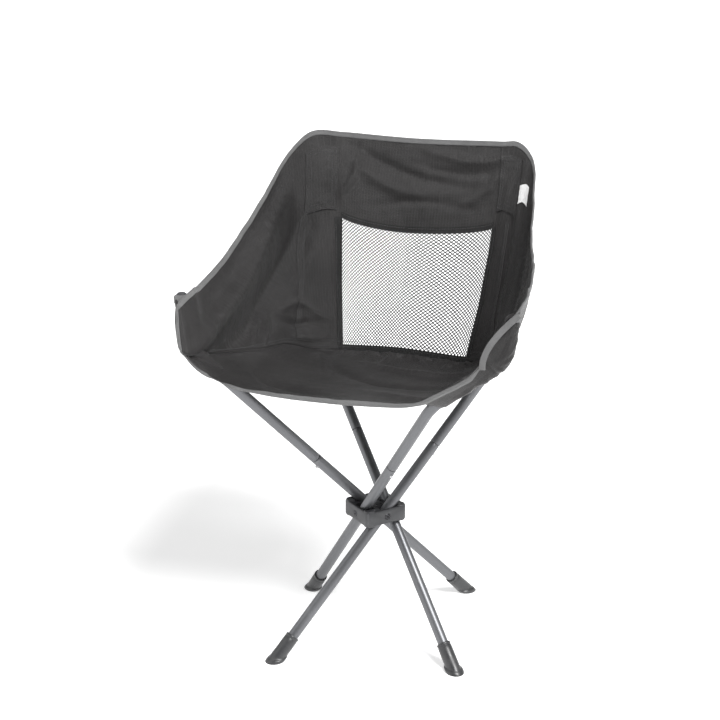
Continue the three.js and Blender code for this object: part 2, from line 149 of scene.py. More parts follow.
def catmull_rom(points, u):
    """Centripetal Catmull-Rom through points; u counts points from 0 and may be an array."""
    p = np.asarray(points, float)
    first, last = 2 * p[0] - p[1], 2 * p[-1] - p[-2]
    p = np.vstack([first, p, last])
    u = np.clip(np.asarray(u, float), 0, len(p) - 3)
    i = np.minimum(u.astype(int), len(p) - 4)
    f = (u - i)[..., None]
    p0, p1, p2, p3 = p[i], p[i + 1], p[i + 2], p[i + 3]
    gap = [np.sqrt(np.maximum(np.linalg.norm(b - a, axis=-1), 1e-6))[..., None]
           for a, b in ((p0, p1), (p1, p2), (p2, p3))]
    m1 = gap[1] * ((p1 - p0) / gap[0] - (p2 - p0) / (gap[0] + gap[1]) + (p2 - p1) / gap[1])
    m2 = gap[1] * ((p2 - p1) / gap[1] - (p3 - p1) / (gap[1] + gap[2]) + (p3 - p2) / gap[2])
    return ((2 * f**3 - 3 * f**2 + 1) * p1 + (f**3 - 2 * f**2 + f) * m1
            + (3 * f**2 - 2 * f**3) * p2 + (f**3 - f**2) * m2)


class Path:
    """A polyline with a frame at every distance along it."""

    def __init__(self, points, side):
        self.points = np.asarray(points, float)
        self.along = distances_along(self.points)
        self.length = self.along[-1]
        self.tangents = unit(np.gradient(self.points, self.along, axis=0))
        sides = []
        for tangent in self.tangents:
            side = unit(side - np.dot(side, tangent) * tangent)
            sides.append(side)
        self.sides = np.array(sides)

    def at(self, distance):
        """The point, tangent and two sideways directions at each distance, also past the ends."""
        point, tangent, side = (sampled(distance, self.along, values)
                                for values in (self.points, self.tangents, self.sides))
        tangent = unit(tangent)
        side = unit(side - np.sum(side * tangent, axis=-1, keepdims=True) * tangent)
        beyond = np.asarray(distance) - np.clip(distance, 0, self.length)
        return point + beyond[..., None] * tangent, tangent, side, np.cross(tangent, side)


def bent_points(corners):
    """Straight runs joined by smooth bends that start a little before each corner."""
    corners = [np.asarray(c, float) for c in corners]
    points = [corners[0]]
    for before, corner, after in zip(corners, corners[1:], corners[2:]):
        a = corner + unit(before - corner) * BEND_SETBACK
        b = corner + unit(after - corner) * BEND_SETBACK
        t = np.linspace(0, 1, 14)[:, None]
        points += list((1 - t) ** 2 * a + 2 * t * (1 - t) * corner + t**2 * b)
    points.append(corners[-1])
    dense = [points[0]]
    for a, b in zip(points, points[1:]):
        count = max(1, int(np.linalg.norm(b - a) // POLE_STEP))
        dense += [a + (b - a) * (k + 1) / count for k in range(count)]
    return np.array(dense)


def ring_faces(count, sides, loop=False):
    """Faces between rings of points; a loop closes on its first ring, or else both ends are capped."""
    faces = []
    for i in range(count if loop else count - 1):
        a, b = i * sides, (i + 1) % count * sides
        faces += [(a + k, a + (k + 1) % sides, b + (k + 1) % sides, b + k) for k in range(sides)]
    if not loop:
        faces.append(tuple(range(sides - 1, -1, -1)))
        faces.append(tuple((count - 1) * sides + k for k in range(sides)))
    return faces


def swept(path, profile, sides, loop=False):
    """A surface of (distance, radius) rings along a path."""
    distances, radii = np.array(profile, float).T
    centre, _, side, across = path.at(distances)
    turn = np.arange(sides) * 2 * math.pi / sides
    rings = centre[:, None] + radii[:, None, None] * wheel(turn, side, across)
    u = np.repeat(distances * MM, sides)
    v = np.tile(turn * np.max(radii) * MM, len(profile))
    return rings.reshape(-1, 3), ring_faces(len(profile), sides, loop), np.stack([v, u], axis=1)


def pipe(path):
    """An open tube with chamfered ends."""
    length = path.length
    wall = [(0, TUBE_R - CHAMFER), (CHAMFER * 0.3, TUBE_R - CHAMFER * 0.3), (CHAMFER, TUBE_R)]
    wall += [(d, TUBE_R) for d in np.arange(CHAMFER + RING_STEP, length - CHAMFER - RING_STEP / 2, RING_STEP)]
    inside = [(d, TUBE_BORE_R) for d, _ in wall[:2:-1]]
    wall += [(length - CHAMFER, TUBE_R), (length - CHAMFER * 0.3, TUBE_R - CHAMFER * 0.3),
             (length, TUBE_R - CHAMFER)]
    return swept(path, [*wall, (length, TUBE_BORE_R), *inside, (0, TUBE_BORE_R)], TUBE_SIDES, loop=True)


def joined(parts):
    """Several (points, faces, uv) as one."""
    points, faces, uvs, start = [], [], [], 0
    for part_points, part_faces, part_uv in parts:
        points.append(part_points)
        uvs.append(part_uv)
        faces += [tuple(i + start for i in face) for face in part_faces]
        start += len(part_points)
    return np.vstack(points), faces, np.vstack(uvs)


# ---------------------------------------------------------------- materials
class Graph:
    """A node material with short names for the nodes that the finishes share."""

    def __init__(self, name):
        self.material = bpy.data.materials.new(name)
        self.material.use_nodes = True
        self.nodes = self.material.node_tree.nodes
        self.links = self.material.node_tree.links
        self.shader = self.nodes["Principled BSDF"]

    def put(self, socket, value):
        if hasattr(value, "links"):
            self.links.new(value, socket)
        else:
            socket.default_value = value

    def node(self, kind, inputs=(), **settings):
        node = self.nodes.new(kind)
        for key, value in settings.items():
            setattr(node, key, value)
        for key, value in dict(inputs).items():
            self.put(node.inputs[key], value)
        return node

    def math(self, operation, *values):
        return self.node("ShaderNodeMath", dict(enumerate(values)), operation=operation).outputs[0]

    def total(self, *terms):
        """The sum of values and of (value, weight) pairs."""
        sums = [self.math("MULTIPLY", *term) if isinstance(term, tuple) else term for term in terms]
        result = sums[0]
        for term in sums[1:]:
            result = self.math("ADD", result, term)
        return result

    def uv(self):
        parts = self.node("ShaderNodeSeparateXYZ", {0: self.node("ShaderNodeUVMap", uv_map="UVMap").outputs[0]})
        return parts.outputs[0], parts.outputs[1]

    def place(self):
        return self.node("ShaderNodeTexCoord").outputs["Object"]

    def noise(self, scale, detail=3.0, roughness=0.55):
        inputs = {"Scale": scale, "Detail": detail, "Roughness": roughness, "Vector": self.place()}
        return self.node("ShaderNodeTexNoise", inputs).outputs["Fac"]

    def wave(self, coordinate, period_mm):
        """A wave from -1 to 1 along a coordinate in metres."""
        return self.math("SINE", self.math("MULTIPLY", coordinate, 2 * math.pi / (period_mm * MM)))

    def ramp(self, factor, *stops):
        node = self.node("ShaderNodeValToRGB", {0: factor})
        elements = node.color_ramp.elements
        while len(elements) < len(stops):
            elements.new(0.5)
        for element, (position, value) in zip(elements, stops):
            element.position = position
            element.color = (*value, 1) if isinstance(value, tuple) else (value, value, value, 1)
        return node.outputs[0]

    def mix(self, factor, one, other):
        node = self.node("ShaderNodeMix", data_type="RGBA")
        for socket, value in ((node.inputs[0], factor), (node.inputs[6], one), (node.inputs[7], other)):
            self.put(socket, value if hasattr(value, "links") or not isinstance(value, tuple) else (*value, 1))
        return node.outputs[2]

    def bump(self, *layers):
        """Bump from (height, distance in mm) layers, the coarse ones first."""
        normal = None
        for height, distance in layers:
            inputs = {"Height": height, "Distance": distance * MM, "Strength": 1.0}
            if normal is not None:
                inputs["Normal"] = normal
            normal = self.node("ShaderNodeBump", inputs).outputs[0]
        self.put(self.shader.inputs["Normal"], normal)

    def finish(self, color, roughness, **constants):
        self.put(self.shader.inputs["Base Color"], color)
        self.put(self.shader.inputs["Roughness"], roughness)
        for key, value in constants.items():
            self.shader.inputs[key.replace("_", " ").title().replace("Ior", "IOR")].default_value = value
        return self.material


def worn_edges(g, amount):
    """0 on flat places, up to 1 on convex edges, broken up by noise."""
    pointiness = g.node("ShaderNodeNewGeometry").outputs["Pointiness"]
    edge = g.ramp(pointiness, (0.52, 0.0), (0.60, 1.0))
    return g.math("MULTIPLY", g.math("MULTIPLY", edge, g.noise(220)), amount)


def cloth_material(name, dark, light, sheen=0.06, grid=0.16):
    """Ripstop: fine basket weave with a thicker yarn every few millimetres each way."""
    g = Graph(name)
    u, v = g.uv()
    warp, weft = g.wave(u, 0.85), g.wave(v, 0.85)
    weave = g.math("MULTIPLY", warp, weft)
    rib_u = g.ramp(g.wave(u, 4.6), (0.72, 0.0), (0.98, 1.0))
    rib_v = g.ramp(g.wave(v, 4.6), (0.80, 0.0), (0.99, 1.0))
    ribs = g.math("MAXIMUM", rib_u, g.math("MULTIPLY", rib_v, 0.55))
    blotch = g.ramp(g.noise(7, 4), (0.32, 0.0), (0.70, 1.0))
    thread = g.noise(420, 2)
    color = g.mix(g.total((ribs, grid), (blotch, 0.22), (thread, 0.26), (weave, 0.10)), dark, light)
    roughness = g.total(0.36, (g.noise(30), 0.12))
    g.bump((g.noise(16, 2), 1.3), (g.noise(60, 3), 0.35), (ribs, 0.16), (weave, 0.10))
    return g.finish(color, roughness, sheen_weight=sheen, sheen_roughness=0.45, specular_ior_level=0.32)


def tape_material():
    g = Graph("binding_tape")
    u, v = g.uv()
    ribs = g.wave(u, 1.3)
    edge = g.wave(v, 0.9)
    share = g.total((ribs, 0.22), (g.noise(55), 0.75))
    color = g.mix(share, (0.085, 0.085, 0.086), (0.190, 0.190, 0.190))
    g.bump((g.noise(40), 0.5), (ribs, 0.16), (edge, 0.05))
    return g.finish(color, 0.72, sheen_weight=0.2, sheen_roughness=0.5)


def tube_material():
    """Satin metallic powder coat: fine flake, soft clouding and rubbed places."""
    g = Graph("tube_coating")
    flake = g.noise(1500, 2)
    cloud = g.ramp(g.noise(9, 4), (0.35, 0.0), (0.72, 1.0))
    scuff = g.ramp(g.noise(38, 6, 0.7), (0.60, 0.0), (0.74, 1.0))
    share = g.total((flake, 0.7), (cloud, 0.25))
    color = g.mix(share, (0.105, 0.107, 0.113), (0.200, 0.203, 0.212))
    color = g.mix(g.math("MULTIPLY", scuff, 0.35), color, (0.30, 0.305, 0.31))
    roughness = g.total(0.37, (g.total(cloud, scuff), 0.08))
    g.bump((g.noise(900, 2), 0.03), (flake, 0.02))
    return g.finish(color, roughness, metallic=0.70, specular_ior_level=0.45)


def plastic_material(name, dark, light, rough=0.46):
    """Moulded plastic: fine spark texture, slightly polished edges."""
    g = Graph(name)
    grain = g.noise(1300, 2)
    cloud = g.noise(26, 4)
    color = g.mix(g.math("MULTIPLY", g.math("ADD", grain, cloud), 0.5), dark, light)
    color = g.mix(worn_edges(g, 0.7), color, tuple(min(1.0, 2.1 * c) for c in light))
    roughness = g.total(rough - 0.06, (grain, 0.16))
    g.bump((cloud, 0.12), (grain, 0.05))
    return g.finish(color, roughness, specular_ior_level=0.45)


def rubber_material():
    g = Graph("foot_rubber")
    grain = g.noise(900, 3)
    dust = g.ramp(g.noise(45, 6, 0.7), (0.50, 0.0), (0.78, 1.0))
    height = g.node("ShaderNodeSeparateXYZ", {0: g.place()}).outputs[2]
    low = g.ramp(g.math("DIVIDE", height, 0.03), (0.0, 1.0), (1.0, 0.15))
    color = g.mix(g.math("MULTIPLY", grain, 0.8), (0.024, 0.0245, 0.026), (0.050, 0.051, 0.053))
    color = g.mix(g.math("MULTIPLY", g.math("MULTIPLY", dust, low), 0.45), color, (0.16, 0.155, 0.15))
    g.bump((g.noise(120), 0.12), (grain, 0.06))
    return g.finish(color, g.total(0.34, (dust, 0.25)), specular_ior_level=0.5)


def steel_material(name="plated_steel", dark=(0.42, 0.42, 0.43), light=(0.66, 0.66, 0.67)):
    g = Graph(name)
    brushed = g.noise(700, 3)
    spots = g.ramp(g.noise(150, 5), (0.55, 0.0), (0.8, 1.0))
    color = g.mix(brushed, dark, light)
    color = g.mix(g.math("MULTIPLY", spots, 0.3), color, tuple(0.5 * c for c in dark))
    g.bump((brushed, 0.03))
    return g.finish(color, g.total(0.24, (brushed, 0.18)), metallic=1.0)


def net_material():
    g = Graph("net_yarn")
    fibre = g.noise(1600, 3)
    color = g.mix(fibre, (0.016, 0.016, 0.017), (0.052, 0.052, 0.054))
    g.bump((fibre, 0.12))
    return g.finish(color, 0.6, sheen_weight=0.2, sheen_roughness=0.4)


def thread_material():
    g = Graph("sewing_thread")
    twist = g.wave(g.math("ADD", *g.uv()), 0.9)
    color = g.mix(g.total(0.5, (twist, 0.4)), (0.012, 0.012, 0.013), (0.04, 0.04, 0.042))
    g.bump((twist, 0.06))
    return g.finish(color, 0.5, sheen_weight=0.2)


def label_material():
    g = Graph("woven_label")
    u, v = g.uv()
    weave = g.math("MULTIPLY", g.wave(u, 0.55), g.wave(v, 0.55))
    color = g.mix(g.total((g.noise(160), 0.7), (weave, 0.15)), (0.66, 0.66, 0.66), (0.86, 0.86, 0.85))
    g.bump((g.noise(80), 0.4), (weave, 0.06))
    return g.finish(color, 0.55, sheen_weight=0.3)


def floor_material():
    g = Graph("studio_floor")
    color = g.mix(g.noise(1.2), (0.90, 0.90, 0.90), (0.93, 0.93, 0.93))
    return g.finish(color, 0.85, specular_ior_level=0.1, emission_color=(1, 1, 1, 1), emission_strength=0.50)


CLOTH = cloth_material("ripstop_cloth", (0.0092, 0.0087, 0.0088), (0.054, 0.0508, 0.0508))
FACING = cloth_material("facing_cloth", (0.0115, 0.0110, 0.0110), (0.062, 0.059, 0.059))
NET_EDGE = cloth_material("net_edge", (0.006, 0.006, 0.006), (0.020, 0.020, 0.020), sheen=0.1, grid=0.3)
TAPE = tape_material()
TUBE = tube_material()
PLASTIC = plastic_material("hub_plastic", (0.026, 0.0265, 0.028), (0.050, 0.051, 0.054), 0.38)
CAP = plastic_material("cap_plastic", (0.020, 0.020, 0.021), (0.040, 0.040, 0.043))
RUBBER = rubber_material()
STEEL = steel_material()
# Dark steel: the pivot bolts' own dark finish, and painted shade on the ferrules for the gap at each fold
# joint, which lies in shadow.
DARK_STEEL_AND_SHADE = steel_material("blackened_steel_and_painted_shade", (0.035, 0.035, 0.037), (0.085, 0.085, 0.09))
NET = net_material()
THREAD = thread_material()
LABEL = label_material()


# ---------------------------------------------------------------- the legs and poles
class Leg:
    """One straight leg and its bent pole, named by the pole's corner."""

    def __init__(self, corner, angle, via, tip, sleeve):
        joint = JOINTS[f"{corner}_fold"]
        self.corner = corner
        self.body = f"{corner}_leg_assembly"
        self.button_body = f"{corner}_button"
        self.side = -np.array(joint["axis"])
        self.out = np.cross(self.side, UP)
        slope = math.radians(angle)
        self.axis = self.out * math.cos(slope) + UP * math.sin(slope)
        self.under = np.cross(self.side, self.axis)
        self.pivot = (np.array(joint["pos_m"]) - HUB_XY) / MM
        self.end = -(HUB_HEIGHT - LEG_END_HEIGHT) / math.sin(slope)
        self.floor = -HUB_HEIGHT / math.sin(slope)
        self.tip = vec(*tip)
        self.sleeve = sleeve
        start = self.pivot + self.axis * (JOINT_REACH + JOINT_GAP)
        self.pole = Path(bent_points([start, *[vec(*p) for p in via], self.tip]), self.side)
        self.leg = Path([self.pivot + self.axis * self.end, self.pivot + self.axis * JOINT_REACH], self.side)

    def on_axis(self, distance):
        return self.pivot + self.axis * distance


OPEN_ANGLE = 46
STEEP_ANGLE = 51
LEGS = {leg.corner: leg for leg in (
    Leg("front_left", OPEN_ANGLE, [(-224, -192, 499)], (-228, -186, 564), 104),
    Leg("front_right", STEEP_ANGLE, [(113, -144, 419), (222, -192, 510)], (228, -188, 566), 186),
    Leg("back_left", OPEN_ANGLE, [(-147, 178, 432)], (-150, 262, 694), 0),
    Leg("back_right", OPEN_ANGLE, [(178, 147, 432)], (152, 262, 694), 0),
)}
BUTTON_R = 2.9
BUTTON_BELOW = 12.5
BUTTON_TOP = 11.0


def cut_hole(piece, centre, direction, radius, reach):
    """Cuts a round hole through a piece."""
    start = centre - direction * reach
    cutter_path = Path([start, centre + direction * reach], np.cross(direction, unit(vec(0.3, 0.5, 0.8))))
    cutter = make_piece("cutter", swept(cutter_path, [(0, radius), (2 * reach, radius)], 28), STEEL)
    cut_away(piece, cutter)


def cut_away(piece, cutter):
    modifier = piece.modifiers.new("cut", "BOOLEAN")
    modifier.operation = "DIFFERENCE"
    modifier.object = cutter
    modifier.solver = "EXACT"
    bake_modifiers(piece)
    bpy.data.objects.remove(cutter)


def bake_modifiers(piece):
    evaluated = piece.evaluated_get(bpy.context.evaluated_depsgraph_get())
    mesh = bpy.data.meshes.new_from_object(evaluated)
    piece.modifiers.clear()
    piece.data = mesh


def make_tubes(leg):
    tube = make_piece(f"{leg.corner}_leg_tube", pipe(leg.leg), TUBE)
    cut_hole(tube, leg.on_axis(JOINT_REACH - BUTTON_BELOW) + leg.under * TUBE_R, leg.under, BUTTON_R + 0.4, 4.0)
    sharpen(tube.data, 30)
    settle(tube, leg.body, "tube_coating", f"{leg.corner}_leg")
    pole = make_piece(f"{leg.corner}_pole_tube", pipe(leg.pole), TUBE)
    settle(pole, leg.body, "tube_coating", f"{leg.corner}_pole")


def make_button(leg):
    """A domed snap button that stands through the tube's wall."""
    base = leg.on_axis(JOINT_REACH - BUTTON_BELOW)
    dome = [(BUTTON_TOP - 1.6 + 1.6 * math.sin(a), BUTTON_R * math.cos(a)) for a in np.linspace(0, 1.45, 7)]
    profile = [(2.2, 3.7), (3.0, 3.7), (3.0, BUTTON_R), (5.0, BUTTON_R), *dome]
    path = Path([base, base + leg.under * BUTTON_TOP], leg.axis)
    button = make_piece(f"{leg.corner}_button_pin", swept(path, profile, 28), STEEL)
    settle(button, leg.button_body, "steel", f"{leg.corner}_snap_button")


SPRING_WIDTH, SPRING_THICK, SPRING_DROP = 4.4, 0.7, 34.0


def make_spring(leg):
    """The bent leaf behind the button."""
    height = JOINT_REACH - BUTTON_BELOW
    low = height - SPRING_DROP + 2
    arc = [(-0.9 - 1.0 * math.cos(a), low - 1.6 * math.sin(a)) for a in np.linspace(0.3, 2.6, 8)]
    line = np.array([(-3.6, height + 3), *arc, (1.5, height + 3)])
    line = np.vstack([np.linspace(a, b, 6, endpoint=False) for a, b in zip(line, line[1:])] + [line[-1:]])
    ahead = unit(np.gradient(line, axis=0))
    out = np.stack([-ahead[:, 1], ahead[:, 0]], axis=1) * SPRING_THICK / 2
    corners = [(line + out, 1), (line + out, -1), (line - out, -1), (line - out, 1)]
    rings = np.stack([leg.pivot + xy[:, :1] * leg.under + xy[:, 1:] * leg.axis
                      + half * SPRING_WIDTH / 2 * leg.side for xy, half in corners], axis=1)
    count = len(line)
    uv = np.stack([np.repeat(np.arange(count), 4) * 2.0, np.tile([0, 4, 5, 9], count)], axis=1) * MM
    shape = rings.reshape(-1, 3), ring_faces(count, 4), uv
    spring = make_piece(f"{leg.corner}_leaf_spring", shape, STEEL, 40)
    root, free = (tuple((leg.on_axis(height) + leg.under * x) * MM + HUB_XY) for x in (-0.9, 1.4))
    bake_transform(spring)
    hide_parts(f"{leg.corner}_snap_spring")


# ---------------------------------------------------------------- rubber feet
FOOT_R = 10.4
FOOT_TOP = 30.0
SOLE_R = 13.5
SOLE_STRETCH = 1.12
# Height over the floor, and how much less than the sole's radius, along the leg and across it.
SOLE_RINGS = [(5.6, 0.6, 1.4), (4.9, 0.1, 0.3), (3.6, 0.0, 0.0), (1.0, 0.0, 0.0), (0.2, 0.5, 0.5),
              (0.0, 1.2, 1.2), (0.0, 3.5, 3.5), (0.8, 4.1, 4.1)]


def make_foot(leg):
    """A boot moulded round the tube's end: lip, grooved shank, and a flared sole that lies flat."""
    sides = 56
    turn = np.arange(sides) * 2 * math.pi / sides
    top = leg.end + FOOT_TOP
    rings = []

    def along(distance, radius):
        rings.append(leg.on_axis(distance) + radius * wheel(turn, leg.under, leg.side))

    def level(height, out_radius, side_radius, shift=0.0):
        centre = leg.on_axis(leg.floor + height / leg.axis[2]) + leg.out * shift
        rings.append(centre + wheel(turn, leg.out * out_radius, leg.side * side_radius))

    shank = [(-3.0, TUBE_R + 0.3), (-0.2, TUBE_R + 0.35), (0.0, TUBE_R + 0.9), (0.0, FOOT_R - 0.5),
             (-0.6, FOOT_R), (-3.4, FOOT_R), (-4.0, FOOT_R - 0.5), (-4.6, FOOT_R - 0.55),
             (-5.4, FOOT_R - 0.1), (-12, FOOT_R), (-FOOT_TOP + 5, FOOT_R)]
    for distance, radius in shank:
        along(top + distance, radius)
    slant = FOOT_R / leg.axis[2]
    level(10.5, slant, FOOT_R, -0.4)
    level(7.6, slant - 0.1, FOOT_R + 0.1)
    level(6.4, slant + 0.1, FOOT_R + 0.5)
    for height, out_less, side_less in SOLE_RINGS:
        level(height, SOLE_R * SOLE_STRETCH - out_less, SOLE_R - side_less)
    level(0.8, 2.0, 2.0)
    points = np.vstack(rings)
    faces = []
    for i in range(len(rings) - 1):
        a, b = i * sides, (i + 1) * sides
        faces += [(a + k, b + k, b + (k + 1) % sides, a + (k + 1) % sides) for k in range(sides)]
    faces.append(tuple((len(rings) - 1) * sides + k for k in range(sides)))
    faces.append(tuple(range(sides - 1, -1, -1)))
    uv = np.stack([np.tile(turn * FOOT_R, len(rings)), np.repeat(np.arange(len(rings)), sides)], axis=1) * MM
    foot = make_piece(f"{leg.corner}_rubber_foot", (points, [face[::-1] for face in faces], uv), RUBBER, 50)
    settle(foot, leg.body, "foot_rubber", f"{leg.corner}_foot")


# ---------------------------------------------------------------- hub and pivot bolts
HUB_HALF = 35.0
HUB_EDGE_R, HUB_EDGE_ANGLE = 0.7, 50
BOLT_R, BOLT_HEAD_R, SOCKET_R = 2.5, 4.4, 1.45


def make_hub():
    """The CAD hub's shape with the rounded edges of a moulding."""
    mesh = frame["nodes"]["hub"].data.copy()
    mesh.name = "hub_moulding"
    work = bmesh.new()
    work.from_mesh(mesh)
    bmesh.ops.remove_doubles(work, verts=work.verts, dist=1e-6)
    bmesh.ops.dissolve_limit(work, angle_limit=math.radians(0.4), verts=work.verts, edges=work.edges)
    edges = [e for e in work.edges
             if len(e.link_faces) == 2 and e.calc_face_angle(0) > math.radians(HUB_EDGE_ANGLE)]
    bmesh.ops.bevel(work, geom=edges, offset=HUB_EDGE_R * MM, offset_type="OFFSET", segments=3, profile=0.5,
                    affect="EDGES", clamp_overlap=True)
    bmesh.ops.recalc_face_normals(work, faces=work.faces)
    work.to_mesh(mesh)
    work.free()
    mesh.materials.clear()
    mesh.materials.append(PLASTIC)
    soften(mesh, 30)
    settle(linked("hub_moulding", mesh), "frame_hub", "hub_plastic", "hub")


def make_bolt(leg):
    """A pan-head pivot bolt with a hexagon socket."""
    direction = -leg.side
    head = HUB_HALF - 1.6
    centre = vec(0, 0, HUB_HEIGHT)
    profile = [(6.9, 2.1), (7.4, BOLT_R), (head, BOLT_R), (head, BOLT_HEAD_R), (head + 1.0, BOLT_HEAD_R),
               (head + 2.0, BOLT_HEAD_R - 0.9), (head + 2.4, 2.3)]
    path = Path([centre, centre + direction * 60], UP)
    bolt = make_piece(f"{leg.corner}_bolt", swept(path, profile, 30), DARK_STEEL_AND_SHADE)
    cut_away(bolt, make_piece("cutter", swept(path, [(head + 0.7, SOCKET_R), (head + 4, SOCKET_R)], 6), STEEL))
    sharpen(bolt.data, 35)
    settle(bolt, "frame_hub", "steel", f"{leg.corner}_pivot_bolt")


# ---------------------------------------------------------------- the fabric bucket's surfaces
# The wall runs from the left front edge, wraps round the left pole, goes round the back and ends at the
# right front edge. Each row has one point per column, counted from 0.
SEAM = [
    (-228, -199, 492), (-218, -202, 486), (-209, -172, 479), (-194, -110, 464), (-168, -20, 442),
    (-152, 58, 425), (-128, 104, 405), (-104, 126, 399), (-86, 137, 396), (0, 143, 396), (110, 130, 394),
    (124, 122, 400), (142, 100, 408), (160, 50, 422), (178, -25, 439), (198, -115, 468), (201, -165, 490),
    (188, -195, 501)]
MIDDLE = [
    (-233, -199, 530), (-221, -203, 530), (-210, -177, 529), (-215, -110, 518), (-204, -10, 520),
    (-189, 92, 543), (-168, 172, 578), (-130, 196, 590), (-104, 203, 590), (0, 209, 588), (136, 198, 589),
    (148, 190, 590), (174, 166, 580), (200, 90, 540), (214, -10, 526), (223, -110, 528), (218, -165, 538),
    (206, -198, 545)]
RIM = [
    (-232, -198, 551), (-226, -202, 560), (-217, -177, 571), (-231, -110, 558), (-228, -5, 572),
    (-212, 108, 621), (-190, 222, 688), (-162, 246, 713), (-112, 250, 713), (0, 252, 708), (136, 250, 710),
    (163, 246, 711), (188, 224, 693), (207, 112, 603), (226, 0, 580), (236, -110, 577), (239, -165, 583),
    (237, -194, 578)]
FRONT_EDGE = [
    (-228, -199, 492), (-207, -200, 471), (-186, -199, 456), (-160, -196, 444), (-132, -190, 436),
    (-91, -184, 430), (-45, -183, 428), (0, -183, 427.5), (50, -183, 429), (84, -184, 432), (103, -184, 437),
    (122, -185, 448), (150, -186, 465), (172, -190, 481), (188, -195, 501)]
MIDDLE_ROW = 0.6
LEFT_EDGE, LEFT_SIDE, LEFT_CORNER, NET_LEFT = 0, 4, 7, 8
BACK_MIDDLE, NET_RIGHT, RIGHT_CORNER, RIGHT_SIDE, RIGHT_EDGE = 9, 10, 11, 14, 17
SEAT_SAG = 9.0
WALL_FOOT = -0.025             # the wall's seam allowance, below the seat
SEAT_SPLIT = 0.57              # the seat's cross line, level with the middle of the side walls


def ripple(points, wavelength, seed):
    """Soft seeded unevenness from -1 to 1 over points in space."""
    random = np.random.default_rng(seed)
    total = np.zeros(points.shape[:-1])
    for _ in range(7):
        direction = unit(random.normal(size=3))
        total += np.sin(points @ direction * 2 * math.pi / (wavelength * random.uniform(0.7, 1.5))
                        + random.uniform(0, 6.3))
    return total / 4.0


def base_wall(s, t):
    """The wall without folds; s counts the columns and t goes from the seam (0) to the rim (1)."""
    s, t = np.broadcast_arrays(np.asarray(s, float), np.asarray(t, float))
    m = MIDDLE_ROW
    weights = ((t - m) * (t - 1) / m, t * (t - 1) / (m * (m - 1)), t * (t - m) / (1 - m))
    return sum(w[..., None] * catmull_rom(row, s) for w, row in zip(weights, (SEAM, MIDDLE, RIM)))


def base_seat(a, b):
    """The seat without folds; a goes from left to right and b from front to back, both from 0 to 1."""
    a, b = np.broadcast_arrays(np.asarray(a, float), np.asarray(b, float))
    front = catmull_rom(FRONT_EDGE, a * (len(FRONT_EDGE) - 1))
    back = catmull_rom(SEAM, LEFT_CORNER + (RIGHT_CORNER - LEFT_CORNER) * a)
    left = catmull_rom(SEAM, LEFT_CORNER * b)
    right = catmull_rom(SEAM, RIGHT_EDGE - (RIGHT_EDGE - RIGHT_CORNER) * b)
    a1, b1 = a[..., None], b[..., None]
    ends = front * (1 - b1) + back * b1
    sides = left * (1 - a1) + right * a1
    corners = (vec(*SEAM[0]) * (1 - a1) * (1 - b1) + vec(*SEAM[RIGHT_EDGE]) * a1 * (1 - b1)
               + vec(*SEAM[LEFT_CORNER]) * (1 - a1) * b1 + vec(*SEAM[RIGHT_CORNER]) * a1 * b1)
    point = ends + sides - corners
    point[..., 2] -= SEAT_SAG * np.sin(math.pi * a) * np.sin(math.pi * b)
    return point


def normals_of(surface, x, y, step=1e-3):
    along = surface(x + step, y) - surface(x - step, y)
    across = surface(x, y + step) - surface(x, y - step)
    return unit(np.cross(along, across))


# Folds: (x, y) points on the surface, width and height in millimetres; height is towards the sitter.
WALL_FOLDS = [
    ([(6.9, 0.70), (5.9, 0.52), (4.9, 0.40), (3.9, 0.20), (3.0, 0.00), (2.6, -0.12)], 22, -22.0),
    ([(6.0, 0.86), (4.7, 0.71), (3.8, 0.60), (2.9, 0.46), (2.1, 0.26), (1.6, 0.10)], 18, 17.0),
    ([(6.9, 0.50), (6.1, 0.38), (5.4, 0.30)], 15, 5.0),
    ([(3.3, 0.80), (2.9, 0.45), (2.6, 0.15)], 10, -3.5),
    ([(7.75, 0.56), (7.7, 0.36), (7.6, 0.22)], 8, -3.5),
    ([(2.7, 0.5), (2.6, 0.1)], 9, -2.5),
    ([(3.86, 0.04), (4.18, 0.16), (4.55, 0.28)], 3.4, 5.6),
    ([(4.16, 0.03), (4.46, 0.14), (4.74, 0.24)], 3.2, 5.2),
    ([(4.02, 0.04), (4.32, 0.15), (4.66, 0.26)], 2.8, -2.6),
    ([(4.7, 0.255), (5.2, 0.245), (5.8, 0.225), (6.4, 0.17), (7.0, 0.13)], 6.0, 4.5),
    ([(4.9, 0.18), (5.4, 0.125), (6.1, 0.12), (6.7, 0.10)], 6.0, -4.5),
    ([(5.3, 0.05), (6.0, 0.045), (7.2, 0.05)], 5.0, 2.0),
    ([(8.1, 0.95), (8.6, 0.87), (9.2, 0.80), (9.6, 0.78)], 9, -5.4),
    ([(8.2, 0.86), (8.7, 0.76), (9.2, 0.72)], 9, 3.8),
    ([(9.1, 0.95), (9.6, 0.90), (10.2, 0.93)], 7, 4.6),
    ([(9.0, 0.88), (9.5, 0.84), (10.0, 0.86)], 7, -3.4),
    ([(8.0, 0.70), (8.2, 0.80), (8.3, 0.93)], 6, 4.0),
    ([(9.5, 0.68), (9.8, 0.76), (10.0, 0.84)], 7, 3.0),
    ([(8.5, 0.66), (9.1, 0.70), (9.7, 0.67)], 7, -2.5),
    ([(11.6, 0.97), (11.9, 0.7), (12.2, 0.35), (12.4, 0.1)], 8, 3.2),
    ([(12.2, 0.95), (12.7, 0.60), (13.0, 0.2)], 8, -4.2),
    ([(12.9, 0.99), (13.3, 0.65), (13.5, 0.15)], 7, 5.0),
    ([(13.8, 0.99), (14.1, 0.6), (14.3, 0.2)], 9, -4.8),
    ([(14.7, 0.99), (14.9, 0.5), (15.0, 0.1)], 9, 4.4),
]
